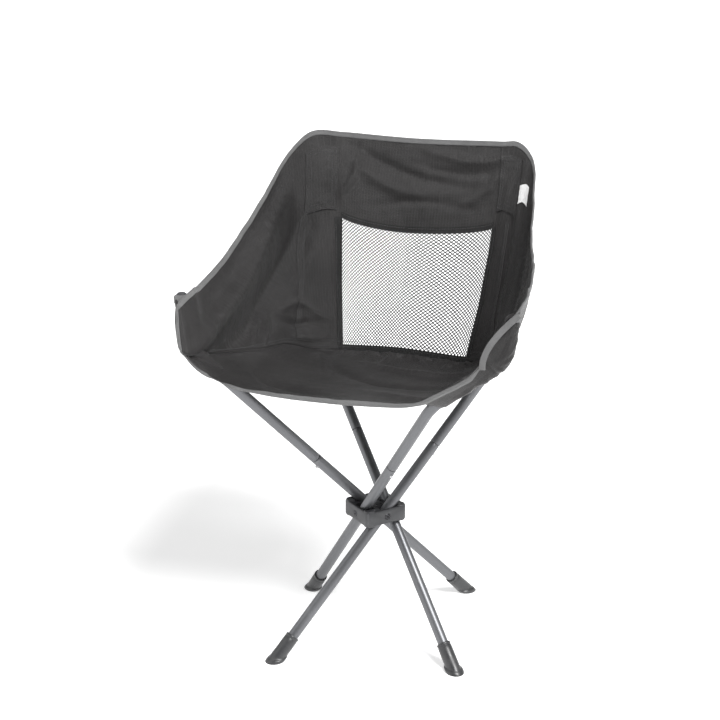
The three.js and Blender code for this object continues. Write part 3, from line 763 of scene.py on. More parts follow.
SEAT_FOLDS = [
    ([(0.27, 0.985), (0.29, 0.90), (0.30, 0.80)], 5, 3.0), ([(0.335, 0.985), (0.325, 0.88)], 4, -3.2),
    ([(0.38, 0.985), (0.40, 0.88), (0.43, 0.76)], 5, 6.6), ([(0.43, 0.985), (0.44, 0.90)], 3.6, -5.0),
    ([(0.47, 0.985), (0.475, 0.86), (0.47, 0.74)], 4.5, 6.4), ([(0.52, 0.985), (0.52, 0.88)], 3.6, -5.0),
    ([(0.56, 0.985), (0.58, 0.88), (0.62, 0.78)], 4.5, 6.4), ([(0.61, 0.985), (0.62, 0.90)], 3.6, -4.6),
    ([(0.66, 0.985), (0.67, 0.88), (0.66, 0.80)], 4.2, 6.0), ([(0.71, 0.985), (0.71, 0.90)], 3.6, -3.0),
    ([(0.76, 0.985), (0.78, 0.90), (0.82, 0.84)], 4.2, 5.0), ([(0.84, 0.985), (0.85, 0.92)], 4, -2.4),
    ([(0.16, 0.86), (0.28, 0.70), (0.36, 0.52)], 10, 5.5),
    ([(0.42, 0.74), (0.58, 0.66), (0.80, 0.70)], 11, 6.5),
    ([(0.36, 0.62), (0.52, 0.52), (0.74, 0.54)], 11, -6.0),
    ([(0.50, 0.42), (0.66, 0.32), (0.84, 0.26)], 14, 5.0),
    ([(0.10, 0.50), (0.28, 0.36), (0.46, 0.28)], 15, -5.5),
    ([(0.20, 0.24), (0.40, 0.16), (0.62, 0.15)], 12, 2.6),
]


def fold_lift(surface, points, folds):
    """How far the folds raise each point of a surface."""
    lift = np.zeros(points.shape[:-1])
    for corners, width, height in folds:
        count = 10 * (len(corners) - 1) + 1
        at = np.linspace(0, len(corners) - 1, count)
        line_xy = catmull_rom([(*c, 0.0) for c in corners], at)[:, :2]
        line = surface(line_xy[:, 0], line_xy[:, 1])
        taper = np.sin(math.pi * (0.08 + 0.84 * np.linspace(0, 1, count)))
        apart = np.linalg.norm(points[..., None, :] - line, axis=-1)
        lift += height * np.max(np.exp(-(apart / width) ** 2) * taper, axis=-1)
    return lift


def clear_poles(points, normals):
    """Raises points that would come too near a pole, so that the cloth lies over it."""
    for leg in LEGS.values():
        line = leg.pole.points[::2]
        tangent = unit(np.gradient(line, axis=0))
        tangent[-1] = 0                # past the tip the distance is taken from the tip itself
        apart = np.linalg.norm(points[..., None, :] - line, axis=-1)
        nearest = np.argmin(apart, axis=-1)
        away = points - line[nearest]
        away = away - np.sum(away * tangent[nearest], axis=-1, keepdims=True) * tangent[nearest]
        along_normal = np.sum(away * normals, axis=-1)
        short = along_normal**2 - np.sum(away**2, axis=-1) + POLE_CLEARANCE**2
        lift = np.where(short > 0, -along_normal + np.sqrt(np.maximum(short, 0)), 0)
        points = points + np.clip(lift, 0, MOST_LIFT)[..., None] * normals
    return points


def wall(s, t, over_poles=True):
    """The wall's middle surface with its folds; normals point to the sitter."""
    base = base_wall(s, t)
    normal = normals_of(base_wall, np.asarray(s, float), np.asarray(t, float))
    lift = fold_lift(base_wall, base, WALL_FOLDS) + 0.9 * ripple(base, 55, 3) + 0.35 * ripple(base, 20, 5)
    free = smooth(np.asarray(t, float) / 0.05)
    folded = base + (lift * free)[..., None] * normal
    return clear_poles(folded, normal) if over_poles else folded


SEAM_DIP = 3.2                 # how far the seat sinks where it is sewn to the wall
SEAM_DIP_SIDE, SEAM_DIP_BACK = 0.011, 0.013    # and over what share of the seat


def seat(a, b):
    """The seat's middle surface with its folds; normals point to the sitter."""
    base = base_seat(a, b)
    normal = normals_of(base_seat, np.asarray(a, float), np.asarray(b, float))
    lift = fold_lift(base_seat, base, SEAT_FOLDS) + 1.1 * ripple(base, 70, 11) + 0.4 * ripple(base, 24, 12)
    a, b = np.broadcast_arrays(np.asarray(a, float), np.asarray(b, float))
    side = np.minimum(a, 1 - a)
    border = np.minimum(side, np.minimum(b, 1 - b))
    dip = np.exp(-(side / SEAM_DIP_SIDE) ** 2) + np.exp(-((1 - b) / SEAM_DIP_BACK) ** 2)
    lift = lift * smooth(border / 0.04) - SEAM_DIP * np.minimum(dip, 1) * smooth(b / 0.08)
    return clear_poles(base + lift[..., None] * normal, normal)


def follow(piece, corner, slot, *nodes):
    """A quarter of the bucket, its placement baked into its mesh, stands for CAD nodes; the corner and the slot
    are not used.
    """
    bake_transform(piece)
    if nodes:
        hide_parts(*nodes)


# ---------------------------------------------------------------- shells, tapes and stitches
def shell(points, thickness, uv, lift=0.0):
    """A sheet with two faces and closed edges from a grid of points; lift is towards the sitter."""
    rows, columns = points.shape[:2]
    du, dv = np.gradient(points, axis=0), np.gradient(points, axis=1)
    normal = unit(np.cross(du, dv))
    near = points + normal * (lift + thickness / 2)
    far = points + normal * (lift - thickness / 2)
    index = np.arange(rows * columns).reshape(rows, columns)
    count = rows * columns
    a, b, c, d = index[:-1, :-1], index[1:, :-1], index[1:, 1:], index[:-1, 1:]
    front = np.stack([a, b, c, d], axis=-1).reshape(-1, 4)
    back = np.stack([d, c, b, a], axis=-1).reshape(-1, 4) + count
    ring = np.concatenate([index[:, 0], index[-1, 1:], index[-2::-1, -1], index[0, -2:0:-1]])
    after = np.roll(ring, -1)
    edge = np.stack([ring, ring + count, after + count, after], axis=-1)
    faces = np.vstack([front, back, edge])
    flat = uv.reshape(-1, 2)
    return np.vstack([near.reshape(-1, 3), far.reshape(-1, 3)]), faces, np.vstack([flat, flat])


def spaced(start, end, count, dense=""):
    """Values from start to end, crowded towards the end that dense names."""
    share = np.linspace(0, 1, count)
    if dense == "start":
        share = share**1.5
    elif dense == "end":
        share = 1 - (1 - share) ** 1.5
    return start + (end - start) * share


def grid(surface, columns, y_range, shares):
    """Points and metre uv of a surface patch; its y limits may be functions of the column."""
    x = np.asarray(columns, float)[:, None]
    low, high = (limit(x) if callable(limit) else limit for limit in y_range)
    y = low + (high - low) * shares[None, :]
    x, y = np.broadcast_arrays(x, y)
    points = surface(x, y)
    across = distances_along(points[:, len(shares) // 2])
    up = np.concatenate([np.zeros((len(x), 1)),
                         np.cumsum(np.linalg.norm(np.diff(points, axis=1), axis=2), axis=1)], axis=1)
    uv = np.stack([np.broadcast_to(across[:, None], up.shape), up], axis=-1) * MM
    return points, uv


def panel(name, corner, surface, columns, y_range, shares, material, slot, nodes=(), lift=0.0,
          thickness=FABRIC):
    points, uv = grid(surface, columns, y_range, shares)
    follow(make_piece(name, shell(points, thickness, uv, lift), material, 55), corner, slot, *nodes)


TAPE_DEPTH, TAPE_HALF, TAPE_BULGE, TAPE_ROWS = 6.6, 1.4, 1.5, 5


def tape(name, corner, edge, inward, normal, nodes=(), half=TAPE_HALF):
    """A grosgrain tape folded over an edge and sewn down: a hairpin section at each point of the edge."""
    arc = np.linspace(-math.pi / 2, math.pi / 2, 7)
    ring = [(-TAPE_BULGE * math.cos(a), half * math.sin(a)) for a in arc]
    ring += [(TAPE_DEPTH * (k + 1) / TAPE_ROWS, half) for k in range(TAPE_ROWS)]
    ring += [(TAPE_DEPTH + 0.5, half * 0.5), (TAPE_DEPTH + 0.5, -half * 0.5)]
    ring += [(TAPE_DEPTH * (TAPE_ROWS - k) / TAPE_ROWS, -half) for k in range(TAPE_ROWS)]
    sections = np.stack([edge + x * inward + y * normal for x, y in ring], axis=1)
    rows, sides = sections.shape[:2]
    uv = np.stack([np.repeat(distances_along(edge), sides), np.tile(distances_along(ring), rows)], axis=1) * MM
    piece = make_piece(name, (sections.reshape(-1, 3), ring_faces(rows, sides), uv), TAPE, 60)
    follow(piece, corner, "tape", *nodes)


def resample(line, step):
    """Evenly spaced points and tangents along a line, with the parameter to place other values."""
    along = distances_along(line)
    at = np.arange(step / 2, along[-1], step)
    ahead, behind = (sampled(at + shift, along, line) for shift in (0.5, -0.5))
    return sampled(at, along, line), unit(ahead - behind), at / along[-1]


STITCH_PITCH, STITCH_LENGTH, THREAD_R = 3.7, 2.7, 0.36
LINE_STEP = 3.0                # between the points of a line laid on a surface


def stitches(line, normal):
    """A row of lock stitches lying on the cloth along a line."""
    points, tangent, share = resample(line, STITCH_PITCH)
    up = unit(sampled(share, np.linspace(0, 1, len(line)), normal))
    across = np.cross(tangent, up)
    sections = ((-0.5, 0.25, -0.35), (-0.36, 0.85, 0.12), (0.36, 0.85, 0.12), (0.5, 0.25, -0.35))
    sides = 6
    turn = np.arange(sides) * 2 * math.pi / sides
    rings = []
    for along, size, height in sections:
        centre = points + tangent * along * STITCH_LENGTH + up * height
        rings.append(centre[:, None] + size * THREAD_R * 1.2 * wheel(turn, across, up))
    block = np.stack(rings, axis=1).reshape(len(points), -1, 3)
    one = ring_faces(len(sections), sides)
    size = block.shape[1]
    faces = [tuple(i + n * size for i in face) for n in range(len(points)) for face in one]
    uv = np.tile(np.stack([np.repeat(np.arange(len(sections)), sides) * 0.9 * MM,
                           np.tile(turn, len(sections)) * THREAD_R * MM], axis=1), (len(points), 1))
    return block.reshape(-1, 3), faces, uv


def surface_line(surface, corners, lift):
    """A line through (x, y) corners of a surface, lifted off it, and its normals."""
    xy = []
    for (x0, y0), (x1, y1) in zip(corners, corners[1:]):
        ends = surface(np.array([x0, x1]), np.array([y0, y1]))
        apart = np.linalg.norm(ends[1] - ends[0])
        count = max(2, int(apart // LINE_STEP))
        share = np.linspace(0, 1, count, endpoint=False)[:, None]
        xy += list(np.array([x0, y0]) + share * (np.array([x1, y1]) - np.array([x0, y0])))
    xy.append(corners[-1])
    xy = np.array(xy)
    points = surface(xy[:, 0], xy[:, 1])
    normal = normals_of(surface, xy[:, 0], xy[:, 1], 4e-3)
    return points + lift * normal, normal


def quarter_of(points):
    """Which corner each point belongs to."""
    side = np.where(points[:, 0] < 0, "left", "right")
    end = np.where(points[:, 1] < 0, "front", "back")
    return np.char.add(np.char.add(end, "_"), side)


# ---------------------------------------------------------------- the bucket's pieces
SEAM_LIFT, STRIP_LIFT, STRIP_THICK = 0.9, 1.0, 0.8    # strips of cloth sewn to the wall's inner face
NET_TOP, NET_SAG = 0.600, 0.052    # the window's upper corners, and how far its middle hangs below them


def net_top(s):
    """The window's upper edge sags between its corners."""
    share = (np.asarray(s, float) - NET_LEFT) / (NET_RIGHT - NET_LEFT)
    return NET_TOP - NET_SAG * np.sin(math.pi * np.clip(share, 0, 1)) ** 0.8


WING_SPANS = {
    "front_left": (LEFT_EDGE, LEFT_SIDE), "back_left": (LEFT_SIDE, NET_LEFT),
    "back_right": (NET_RIGHT, RIGHT_SIDE), "front_right": (RIGHT_SIDE, RIGHT_EDGE)}
WING_NODES = {"front_left": ("left_wing",), "front_right": ("right_wing",)}


def make_wings():
    """The side walls in four quarters, and the seam along their foot."""
    for corner, span in WING_SPANS.items():
        columns = spaced(*span, 120)
        panel(f"{corner}_wing", corner, wall, columns, (WALL_FOOT, 1.0), spaced(0, 1, 80, "start"),
              CLOTH, "cloth", WING_NODES.get(corner, ()))
        panel(f"{corner}_foot_seam", corner, wall, columns, (0.0, 0.042), spaced(0, 1, 6),
              FACING, "cloth", lift=SEAM_LIFT, thickness=STRIP_THICK)


def make_seat():
    """The seat in four quarters."""
    for corner in CORNERS:
        end, side = corner.split("_")
        columns = spaced(0.0, 0.5, 96, "start") if side == "left" else spaced(0.5, 1.0, 96, "end")
        span, dense = ((0.0, SEAT_SPLIT), "start") if end == "front" else ((SEAT_SPLIT, 1.0), "end")
        nodes = ("seat_panel",) if corner == "front_left" else ()
        panel(f"{corner}_seat", corner, seat, columns, span, spaced(0, 1, 84, dense), CLOTH, "cloth", nodes)


def make_back_panels():
    """The solid cloth above the net, in two halves."""
    for side, span in (("left", (NET_LEFT, BACK_MIDDLE)), ("right", (BACK_MIDDLE, NET_RIGHT))):
        nodes = ("back_top_panel",) if side == "left" else ()
        panel(f"back_top_{side}", f"back_{side}", wall, spaced(*span, 72), (net_top, 1.0),
              spaced(0, 1, 60), CLOTH, "cloth", nodes)


NET_PITCH = (5.5, 5.1)         # from hole to hole, across and up
NET_HOLE = 0.645               # a hole's size as a share of the pitch
NET_YARN = 0.7                 # thickness
STRIP_OUT, STRIP_IN = 0.36, 0.02    # how far the side strips reach past the window's edge, in columns


def net_half(side):
    """A knitted net: rounded diamond holes in staggered rows, as one layer of rings."""
    s0, s1 = (NET_LEFT, BACK_MIDDLE) if side == "left" else (BACK_MIDDLE, NET_RIGHT)
    width = np.linalg.norm(base_wall(float(NET_RIGHT), 0.3) - base_wall(float(NET_LEFT), 0.3))
    height = np.linalg.norm(base_wall(float(BACK_MIDDLE), 0.56) - base_wall(float(BACK_MIDDLE), 0.0))
    across = round(width / NET_PITCH[0] / 2) * 2
    tall = round(height / NET_PITCH[1])
    half = across // 2
    corner_points = [(0.5, 0), (0.25, 0.25), (0, 0.5), (-0.25, 0.25), (-0.5, 0), (-0.25, -0.25), (0, -0.5),
                     (0.25, -0.25)]
    hole = [(x * NET_HOLE * k, y * NET_HOLE * k) for (x, y), k in zip(corner_points, (0.90, 1.10) * 4)]
    points, faces, known = [], [], {}

    def index_of(x, y):
        key = (round(x * 1000), round(y * 1000))
        if key not in known:
            known[key] = len(points)
            points.append((x, y))
        return known[key]

    for row in range(tall * 2 + 1):
        y = row / 2
        shift = 0.5 if row % 2 else 0.0
        for column in range(half + 1):
            x = column + shift
            if x > half or (x == 0 and side == "left"):
                continue
            outer = [index_of(x + dx, y + dy) for dx, dy in corner_points]
            inner = [index_of(x + dx, y + dy) for dx, dy in hole]
            faces += [(outer[k], outer[(k + 1) % 8], inner[(k + 1) % 8], inner[k]) for k in range(8)]
    xy = np.array(points)
    share = xy[:, 0] / half
    s = s0 + (s1 - s0) * share if side == "right" else s1 - (s1 - s0) * share
    y = np.clip(xy[:, 1] / tall, -0.02, 1.02)
    t = y * (net_top(s) + 0.02)
    return wall(s, np.clip(t, 0.0, 1.0)), faces, xy * NET_PITCH * MM


def make_net():
    """The window's net in two halves."""
    for side in ("left", "right"):
        columns = spaced(*sorted((BACK_MIDDLE, NET_LEFT if side == "left" else NET_RIGHT)), 20)
        grid(wall, columns, (0.0, net_top), spaced(0, 1, 20))[0]
        net = make_piece(f"net_{side}", net_half(side), NET, 60)
        thick = net.modifiers.new("thickness", "SOLIDIFY")
        thick.thickness = NET_YARN * MM
        thick.offset = 0.0
        bake_modifiers(net)
        follow(net, f"back_{side}", "mesh", *(("mesh_window",) if side == "left" else ()))


def make_net_border():
    """Dense strips that bind the net's sides and foot, and the hem over its top edge."""
    for side, edge, sign in (("left", NET_LEFT, 1), ("right", NET_RIGHT, -1)):
        corner = f"back_{side}"
        span = sorted((edge - sign * STRIP_OUT, edge + sign * STRIP_IN))
        columns = spaced(*sorted((edge, BACK_MIDDLE)), 60)
        head = (lambda s: net_top(s) - 0.004, lambda s: net_top(s) + 0.026)
        for part, across, reach, rows in (("side", spaced(*span, 8), (0.0, net_top), spaced(0, 1, 60)),
                                          ("foot", columns, (-0.030, 0.022), spaced(0, 1, 6)),
                                          ("head", columns, head, spaced(0, 1, 6))):
            panel(f"net_{part}_strip_{side}", corner, wall, across, reach, rows, NET_EDGE, "cloth",
                  lift=STRIP_LIFT, thickness=STRIP_THICK)


PATCHES = {
    "left": ((6.62, 0.920), (7.88, 0.935), (7.74, 0.632), (6.32, 0.640)),
    "right": ((10.06, 0.935), (11.45, 0.940), (11.80, 0.690), (10.10, 0.672))}


PATCH_LIFT, PATCH_THICK = 1.3, 1.2
PATCH_ROWS = ((0.05, 0.035), (0.155, 0.105))    # each row of stitches from the patch's edges, as shares


def patch_surface(corners):
    (x0, y0), (x1, y1), (x2, y2), (x3, y3) = corners

    def place(a, b):
        x = (x3 * (1 - a) + x2 * a) * (1 - b) + (x0 * (1 - a) + x1 * a) * b
        y = (y3 * (1 - a) + y2 * a) * (1 - b) + (y0 * (1 - a) + y1 * a) * b
        return wall(x, y)
    return place


def make_patches():
    """Stitched reinforcing patches on the inner face, over the pockets of the back poles."""
    for side, corners in PATCHES.items():
        surface = patch_surface(corners)
        panel(f"{side}_pocket_facing", f"back_{side}", surface, spaced(0, 1, 26), (0.0, 1.0), spaced(0, 1, 44),
              FACING, "cloth", (f"{side}_pocket_patch",), lift=PATCH_LIFT, thickness=PATCH_THICK)


PANEL_SEAMS = {
    "left": [(6.33, 0.64), (5.90, 0.30), (5.52, 0.04)],
    "right": [(11.38, 0.64), (11.68, 0.36), (12.23, 0.04)]}
SEAM_HALF = 0.075              # from a seam's middle to each row of stitches, in columns


def make_panel_seams():
    """Felled seams: a folded strip of cloth runs down the wall under two rows of stitches."""
    for side, corners in PANEL_SEAMS.items():
        line = catmull_rom([(*c, 0.0) for c in corners], np.linspace(0, len(corners) - 1, 60))

        def place(a, b, line=line):
            at = np.clip(b, 0, 1) * (len(line) - 1)
            x = np.interp(at, np.arange(len(line)), line[:, 0])
            y = np.interp(at, np.arange(len(line)), line[:, 1])
            return wall(x + (1 - 2 * a) * SEAM_HALF * 1.5, y)
        panel(f"{side}_panel_seam", f"back_{side}", place, spaced(0, 1, 8), (0.0, 1.0), spaced(0, 1, 70),
              FACING, "cloth", lift=SEAM_LIFT, thickness=STRIP_THICK)


def make_stitching():
    """Rows of stitches along the foot seam, patches, panel seams and window, as one piece for each quarter."""
    rows = []
    for a, b in ((LEFT_EDGE + 0.6, NET_LEFT), (NET_LEFT, NET_RIGHT), (NET_RIGHT, RIGHT_EDGE - 0.6)):
        for t in (0.012, 0.034):
            rows.append(surface_line(wall, [(a, t), (b, t)], 1.4))
    for corners in PATCHES.values():
        for margin_x, margin_y in PATCH_ROWS:
            box = [(margin_x, margin_y), (1 - margin_x, margin_y), (1 - margin_x, 1 - margin_y),
                   (margin_x, 1 - margin_y), (margin_x, margin_y)]
            rows.append(surface_line(patch_surface(corners), box, 2.0))
    for corners in PANEL_SEAMS.values():
        smooth_line = catmull_rom([(*c, 0.0) for c in corners], np.linspace(0, len(corners) - 1, 30))[:, :2]
        for shift in (-SEAM_HALF, SEAM_HALF):
            rows.append(surface_line(wall, [(x + shift, y) for x, y in smooth_line], 1.35))
    for s in (NET_LEFT - 0.30, NET_RIGHT + 0.30):
        rows.append(surface_line(wall, [(s, 0.03), (s, 0.57)], 1.5))
    top = [(s, float(net_top(s)) + 0.018) for s in np.linspace(NET_LEFT, NET_RIGHT, 24)]
    rows.append(surface_line(wall, top, 1.5))
    by_corner = {corner: [] for corner in CORNERS}
    for line, normal in rows:
        quarters = quarter_of(line)
        for corner in CORNERS:
            inside = quarters == corner
            if inside.sum() > 3:
                by_corner[corner].append(stitches(line[inside], normal[inside]))
    for corner, parts in by_corner.items():
        follow(make_piece(f"{corner}_topstitching", joined(parts), THREAD, 60), corner, "cloth")


RIM_SPANS = {
    "front_left": (LEFT_EDGE, LEFT_SIDE), "back_left": (LEFT_SIDE, BACK_MIDDLE),
    "back_right": (BACK_MIDDLE, RIGHT_SIDE), "front_right": (RIGHT_SIDE, RIGHT_EDGE)}


def edge_frame(surface, x, y, x_in, y_in):
    """An edge's points, the way into the cloth and the cloth's normal."""
    edge = surface(x, y)
    inner = surface(x_in, y_in)
    inward = unit(inner - edge)
    tangent = unit(np.gradient(edge, axis=0))
    normal = unit(np.cross(tangent, inward))
    return edge, inward, normal


RIGHT_TAPE_WAY = vec(0.97, -0.10, -0.20)    # from the right side's edge towards the middle of its tape


def calm_wall(s, t):
    """The wall as the rim tape holds it, not lifted by the tips of the poles."""
    return wall(s, t, over_poles=False)


def over_sleeve(edge):
    """The right side tape lies on the front of the sleeve, facing the sitter's front."""
    tangent = unit(np.gradient(edge, axis=0))
    inward = unit(RIGHT_TAPE_WAY - tangent * (tangent @ RIGHT_TAPE_WAY)[:, None])
    normal = unit(np.cross(inward, tangent))
    return clear_poles(edge, normal) + normal * 1.6, inward, normal


def make_bindings():
    """Grey tape round the rim, up both front edges and along the seat's front."""
    for corner, (s0, s1) in RIM_SPANS.items():
        s = np.linspace(s0, s1, 90)
        edge, inward, normal = edge_frame(calm_wall, s, np.ones_like(s), s, np.full_like(s, 0.93))
        nodes = ("rim_binding",) if corner == "front_left" else ()
        tape(f"{corner}_rim_tape", corner, edge, inward, normal, nodes=nodes)
    for side, column, step in (("left", LEFT_EDGE, 0.5), ("right", RIGHT_EDGE, -0.5)):
        corner = f"front_{side}"
        t = np.linspace(-0.05, 0.985, 46)
        s = np.full_like(t, float(column))
        if side == "right":
            edge, inward, normal = over_sleeve(base_wall(s, t))
        else:
            edge, inward, normal = edge_frame(wall, s, t, s + step, t)
        tape(f"{corner}_side_tape", corner, edge, inward, normal)
        a = np.linspace(0.0, 0.5, 60) if side == "left" else np.linspace(0.5, 1.0, 60)
        edge, inward, normal = edge_frame(seat, a, np.zeros_like(a), a, np.full_like(a, 0.04))
        nodes = ("front_binding",) if side == "left" else ()
        tape(f"{corner}_front_tape", corner, edge, inward, normal, nodes=nodes, half=2.3)


def edge_point(leg, centres):
    """The point of the bucket's bound edge that lies nearest each point of a front pole."""
    column = LEFT_EDGE if leg.corner == "front_left" else RIGHT_EDGE
    t = np.linspace(0, 0.97, 60)
    side_edge = base_wall(np.full_like(t, float(column)), t)
    a = np.linspace(0.0, 0.45, 90) if leg.corner == "front_left" else np.linspace(1.0, 0.55, 90)
    front = base_seat(a, np.zeros_like(a))
    line = np.vstack([front[::-1], side_edge])
    apart = np.linalg.norm(centres[:, None] - line[None], axis=2)
    return line[np.argmin(apart, axis=1)]


# Creases in a sleeve: two ends as (distance below the pole's tip, way round the pole), width and height.
SLEEVE_FOLDS = [
    ((68, -30), (68, 30), 2.2, 1.8), ((74, -30), (74, 30), 2.6, -1.4), ((66, 4), (26, 24), 2.4, 2.2),
    ((64, 8), (44, 27), 2.2, 1.8), ((60, 2), (12, 12), 3.0, -1.6), ((78, 4), (104, 20), 2.6, 2.0),
    ((84, 14), (78, 28), 2.0, 1.4), ((96, 2), (128, 18), 3.0, -1.6), ((108, 10), (150, 14), 2.6, 1.4),
    ((22, 6), (6, 20), 2.2, 1.2)]


SLEEVE_THICK = FABRIC * 0.8
SLEEVE_GIRTH = 34              # half the cloth's way round a sleeve, for its weave


def make_sleeve(leg):
    """The channel that a front pole runs in: round over the pole, drawn out to the bound edge."""
    stations, sides = 72, 52
    length = leg.pole.length
    top = length + 1.6
    distance = np.linspace(length - leg.sleeve, top, stations)
    centre, tangent, _, _ = leg.pole.at(distance)
    target = edge_point(leg, centre)
    padded = np.pad(target, ((4, 4), (0, 0)), mode="edge")
    target = np.stack([np.convolve(column, np.ones(9) / 9, mode="valid") for column in padded.T], axis=1)
    toward = target - centre
    toward -= np.sum(toward * tangent, axis=1, keepdims=True) * tangent
    span = np.linalg.norm(toward, axis=1)
    toward = unit(toward)
    across = np.cross(tangent, toward)
    phi = np.linspace(-math.pi, math.pi, sides, endpoint=False)
    reach = np.maximum(span + 1.0, SLEEVE_R + 0.6)
    lean = np.arccos(np.clip(SLEEVE_R / reach, -1, 1))[:, None]
    radius = np.where(np.abs(phi) < lean, SLEEVE_R / np.cos(lean - np.abs(phi)), SLEEVE_R)
    radius = np.minimum(radius, reach[:, None])
    end_taper = smooth((distance - distance[0]) / 6.0)[:, None] * 0.10 + 0.90
    close = np.sqrt(np.clip((top - distance) / 5.0, 0.0, 1.0))[:, None]
    spots = centre[:, None] + toward[:, None] * np.cos(phi)[:, None] * radius[..., None]
    crease = np.maximum(0, ripple(spots, 30, 21)) * 1.0 + np.maximum(0, ripple(spots, 12, 22)) * 0.3
    round_way = phi[None, :] * SLEEVE_R
    from_tip = (length - distance)[:, None]
    for (d0, w0), (d1, w1), width, height in SLEEVE_FOLDS:
        share = np.linspace(0, 1, 24)
        line = np.stack([d0 + (d1 - d0) * share, w0 + (w1 - w0) * share])
        apart = np.hypot(from_tip[..., None] - line[0], round_way[..., None] - line[1])
        fade = np.sin(math.pi * (0.1 + 0.8 * share))
        crease = crease + height * np.max(np.exp(-(apart / width) ** 2) * fade, axis=-1)
    radius = (radius * end_taper + crease) * (0.25 + 0.75 * close)
    spokes = wheel(phi, toward, across)
    outer = centre[:, None] + radius[..., None] * spokes
    inner = centre[:, None] + (radius - SLEEVE_THICK)[..., None] * spokes
    points = np.vstack([outer.reshape(-1, 3), inner.reshape(-1, 3)])
    count = stations * sides
    faces = []
    for i in range(stations - 1):
        a, b = i * sides, (i + 1) * sides
        for k in range(sides):
            j = (k + 1) % sides
            faces.append((a + k, a + j, b + j, b + k))
            faces.append((count + b + k, count + b + j, count + a + j, count + a + k))
    faces += [(k, count + k, count + (k + 1) % sides, (k + 1) % sides) for k in range(sides)]
    last = (stations - 1) * sides
    faces.append(tuple(last + k for k in range(sides)))
    faces.append(tuple(count + last + k for k in range(sides - 1, -1, -1)))
    girth = phi / math.pi * SLEEVE_GIRTH
    uv = np.stack([np.tile(girth, stations), np.repeat(distance, sides)], axis=1) * MM
    sleeve = make_piece(f"{leg.corner}_pole_sleeve", (points, faces, np.vstack([uv, uv])), CLOTH, 60)
    settle(sleeve, leg.body, "cloth", f"{leg.corner}_corner_sleeve")


def make_tip_cap(leg):
    """The rim tape is wrapped once over the pole's tip."""
    end = leg.pole.length
    profile = [(end - 9.0, SLEEVE_R + 0.2), (end - 8.6, SLEEVE_R + 1.3), (end + 0.6, SLEEVE_R + 1.3),
               (end + 2.6, SLEEVE_R), (end + 3.4, SLEEVE_R - 3.0), (end + 3.7, 2.0)]
    settle(make_piece(f"{leg.corner}_tip_wrap", swept(leg.pole, profile, 36), TAPE, 60), leg.body, "tape")


POCKET_BELOW, POCKET_ABOVE, POCKET_HALF = 96.0, 12.0, 24.0    # reach from the pole's tip, half the width
POCKET_FRONT, POCKET_BULGE = 11.0, 22.5    # from the pole's axis to the wall's side, and from there outwards
POCKET_COLUMNS = {"back_left": (5.4, 8.3), "back_right": (9.7, 12.9)}    # the wall that each is sewn to


def make_pocket(leg):
    """A pocket sewn to the wall's outer face by its edges, bulging over the pole's tip."""
    stations, columns = 44, 41
    high = leg.pole.length + POCKET_ABOVE
    distance = np.linspace(leg.pole.length - POCKET_BELOW, high, stations)
    centre, tangent, _, _ = leg.pole.at(distance)
    across = unit(np.cross(tangent, vec(0, -1, 0)))
    back = np.cross(across, tangent)
    back *= np.sign(back[:, 1:2])
    xi = np.linspace(-1, 1, columns)
    closed = smooth((high - distance) / 13.0)[:, None]
    bump = np.clip(1 - np.abs(xi[None, :]) ** 2.6, 0, 1) * closed
    points = (centre[:, None] + across[:, None] * (xi * POCKET_HALF)[:, None]
              + back[:, None] * (POCKET_BULGE * bump[..., None] - POCKET_FRONT))
    near = POCKET_COLUMNS[leg.corner]
    skin_x, skin_y = np.meshgrid(np.linspace(*near, 110), np.linspace(0.52, 0.992, 90), indexing="ij")
    skin = (wall(skin_x, skin_y) - 1.6 * normals_of(base_wall, skin_x, skin_y)).reshape(-1, 3)
    apart = np.linalg.norm(points.reshape(-1, 1, 3) - skin[None], axis=2)
    nearest = skin[np.argmin(apart, axis=1)].reshape(points.shape)
    hold = 0.97 * (1 - smooth(bump / 0.45))
    points = points * (1 - hold[..., None]) + nearest * hold[..., None]
    points = points + back[:, None] * (0.8 * ripple(points, 30, 31) * bump)[..., None]
    uv = np.stack([np.broadcast_to(xi * POCKET_HALF, (stations, columns)),
                   np.broadcast_to(distance[:, None], (stations, columns))], axis=-1) * MM
    pocket = make_piece(f"{leg.corner}_pole_pocket", shell(points, FABRIC, uv), CLOTH, 55)
    follow(pocket, leg.corner, "cloth", f"{leg.corner}_pocket")


LABEL_LIFT, LABEL_THICK = 1.6, 0.6
LABEL_CORNERS = ((11.8, 0.753), (12.22, 0.813), (12.12, 0.885), (11.67, 0.833))


def make_label():
    """A small blank woven label, sewn flat to the right wing below the rim tape."""
    low_back, low_front, high_front, high_back = (vec(*corner, 0) for corner in LABEL_CORNERS)

    def place(a, b):
        a, b = a[..., None], b[..., None]
        spot = (low_back * (1 - a) + low_front * a) * (1 - b) + (high_back * (1 - a) + high_front * a) * b
        return wall(spot[..., 0], spot[..., 1])
    panel("blank_label", "back_right", place, spaced(0, 1, 14), (0.0, 1.0), spaced(0, 1, 18), LABEL, "label",
          ("woven_label",), lift=LABEL_LIFT, thickness=LABEL_THICK)


# ---------------------------------------------------------------- studio
AIM = vec(-28.4, 18.2, 421.9)
AZIMUTH, ELEVATION, DISTANCE, LENS = 14.02, 18.76, 2450.0, 82.976
SENSOR = 36.0
FLOOR_HALF = 40.0              # metres
# Stops of brightness: the bright walls to either side, and the band along the horizon.
SIDE_GLOW = (0.35, 0.06), (0.80, 0.52)
HORIZON = (0.18, 0.80), (0.28, 0.0)
# Name, strength, spread and turn in degrees.
LIGHTS = ("key", 4.2, 24, (37, 0, 52)), ("fill", 0.75, 60, (58, 0, -62))


def ramp_of(nodes, *stops):
    ramp = nodes.new("ShaderNodeValToRGB")
    for element, (position, value) in zip(ramp.color_ramp.elements, stops):
        element.position, element.color = position, (value, value, value, 1)
    return ramp


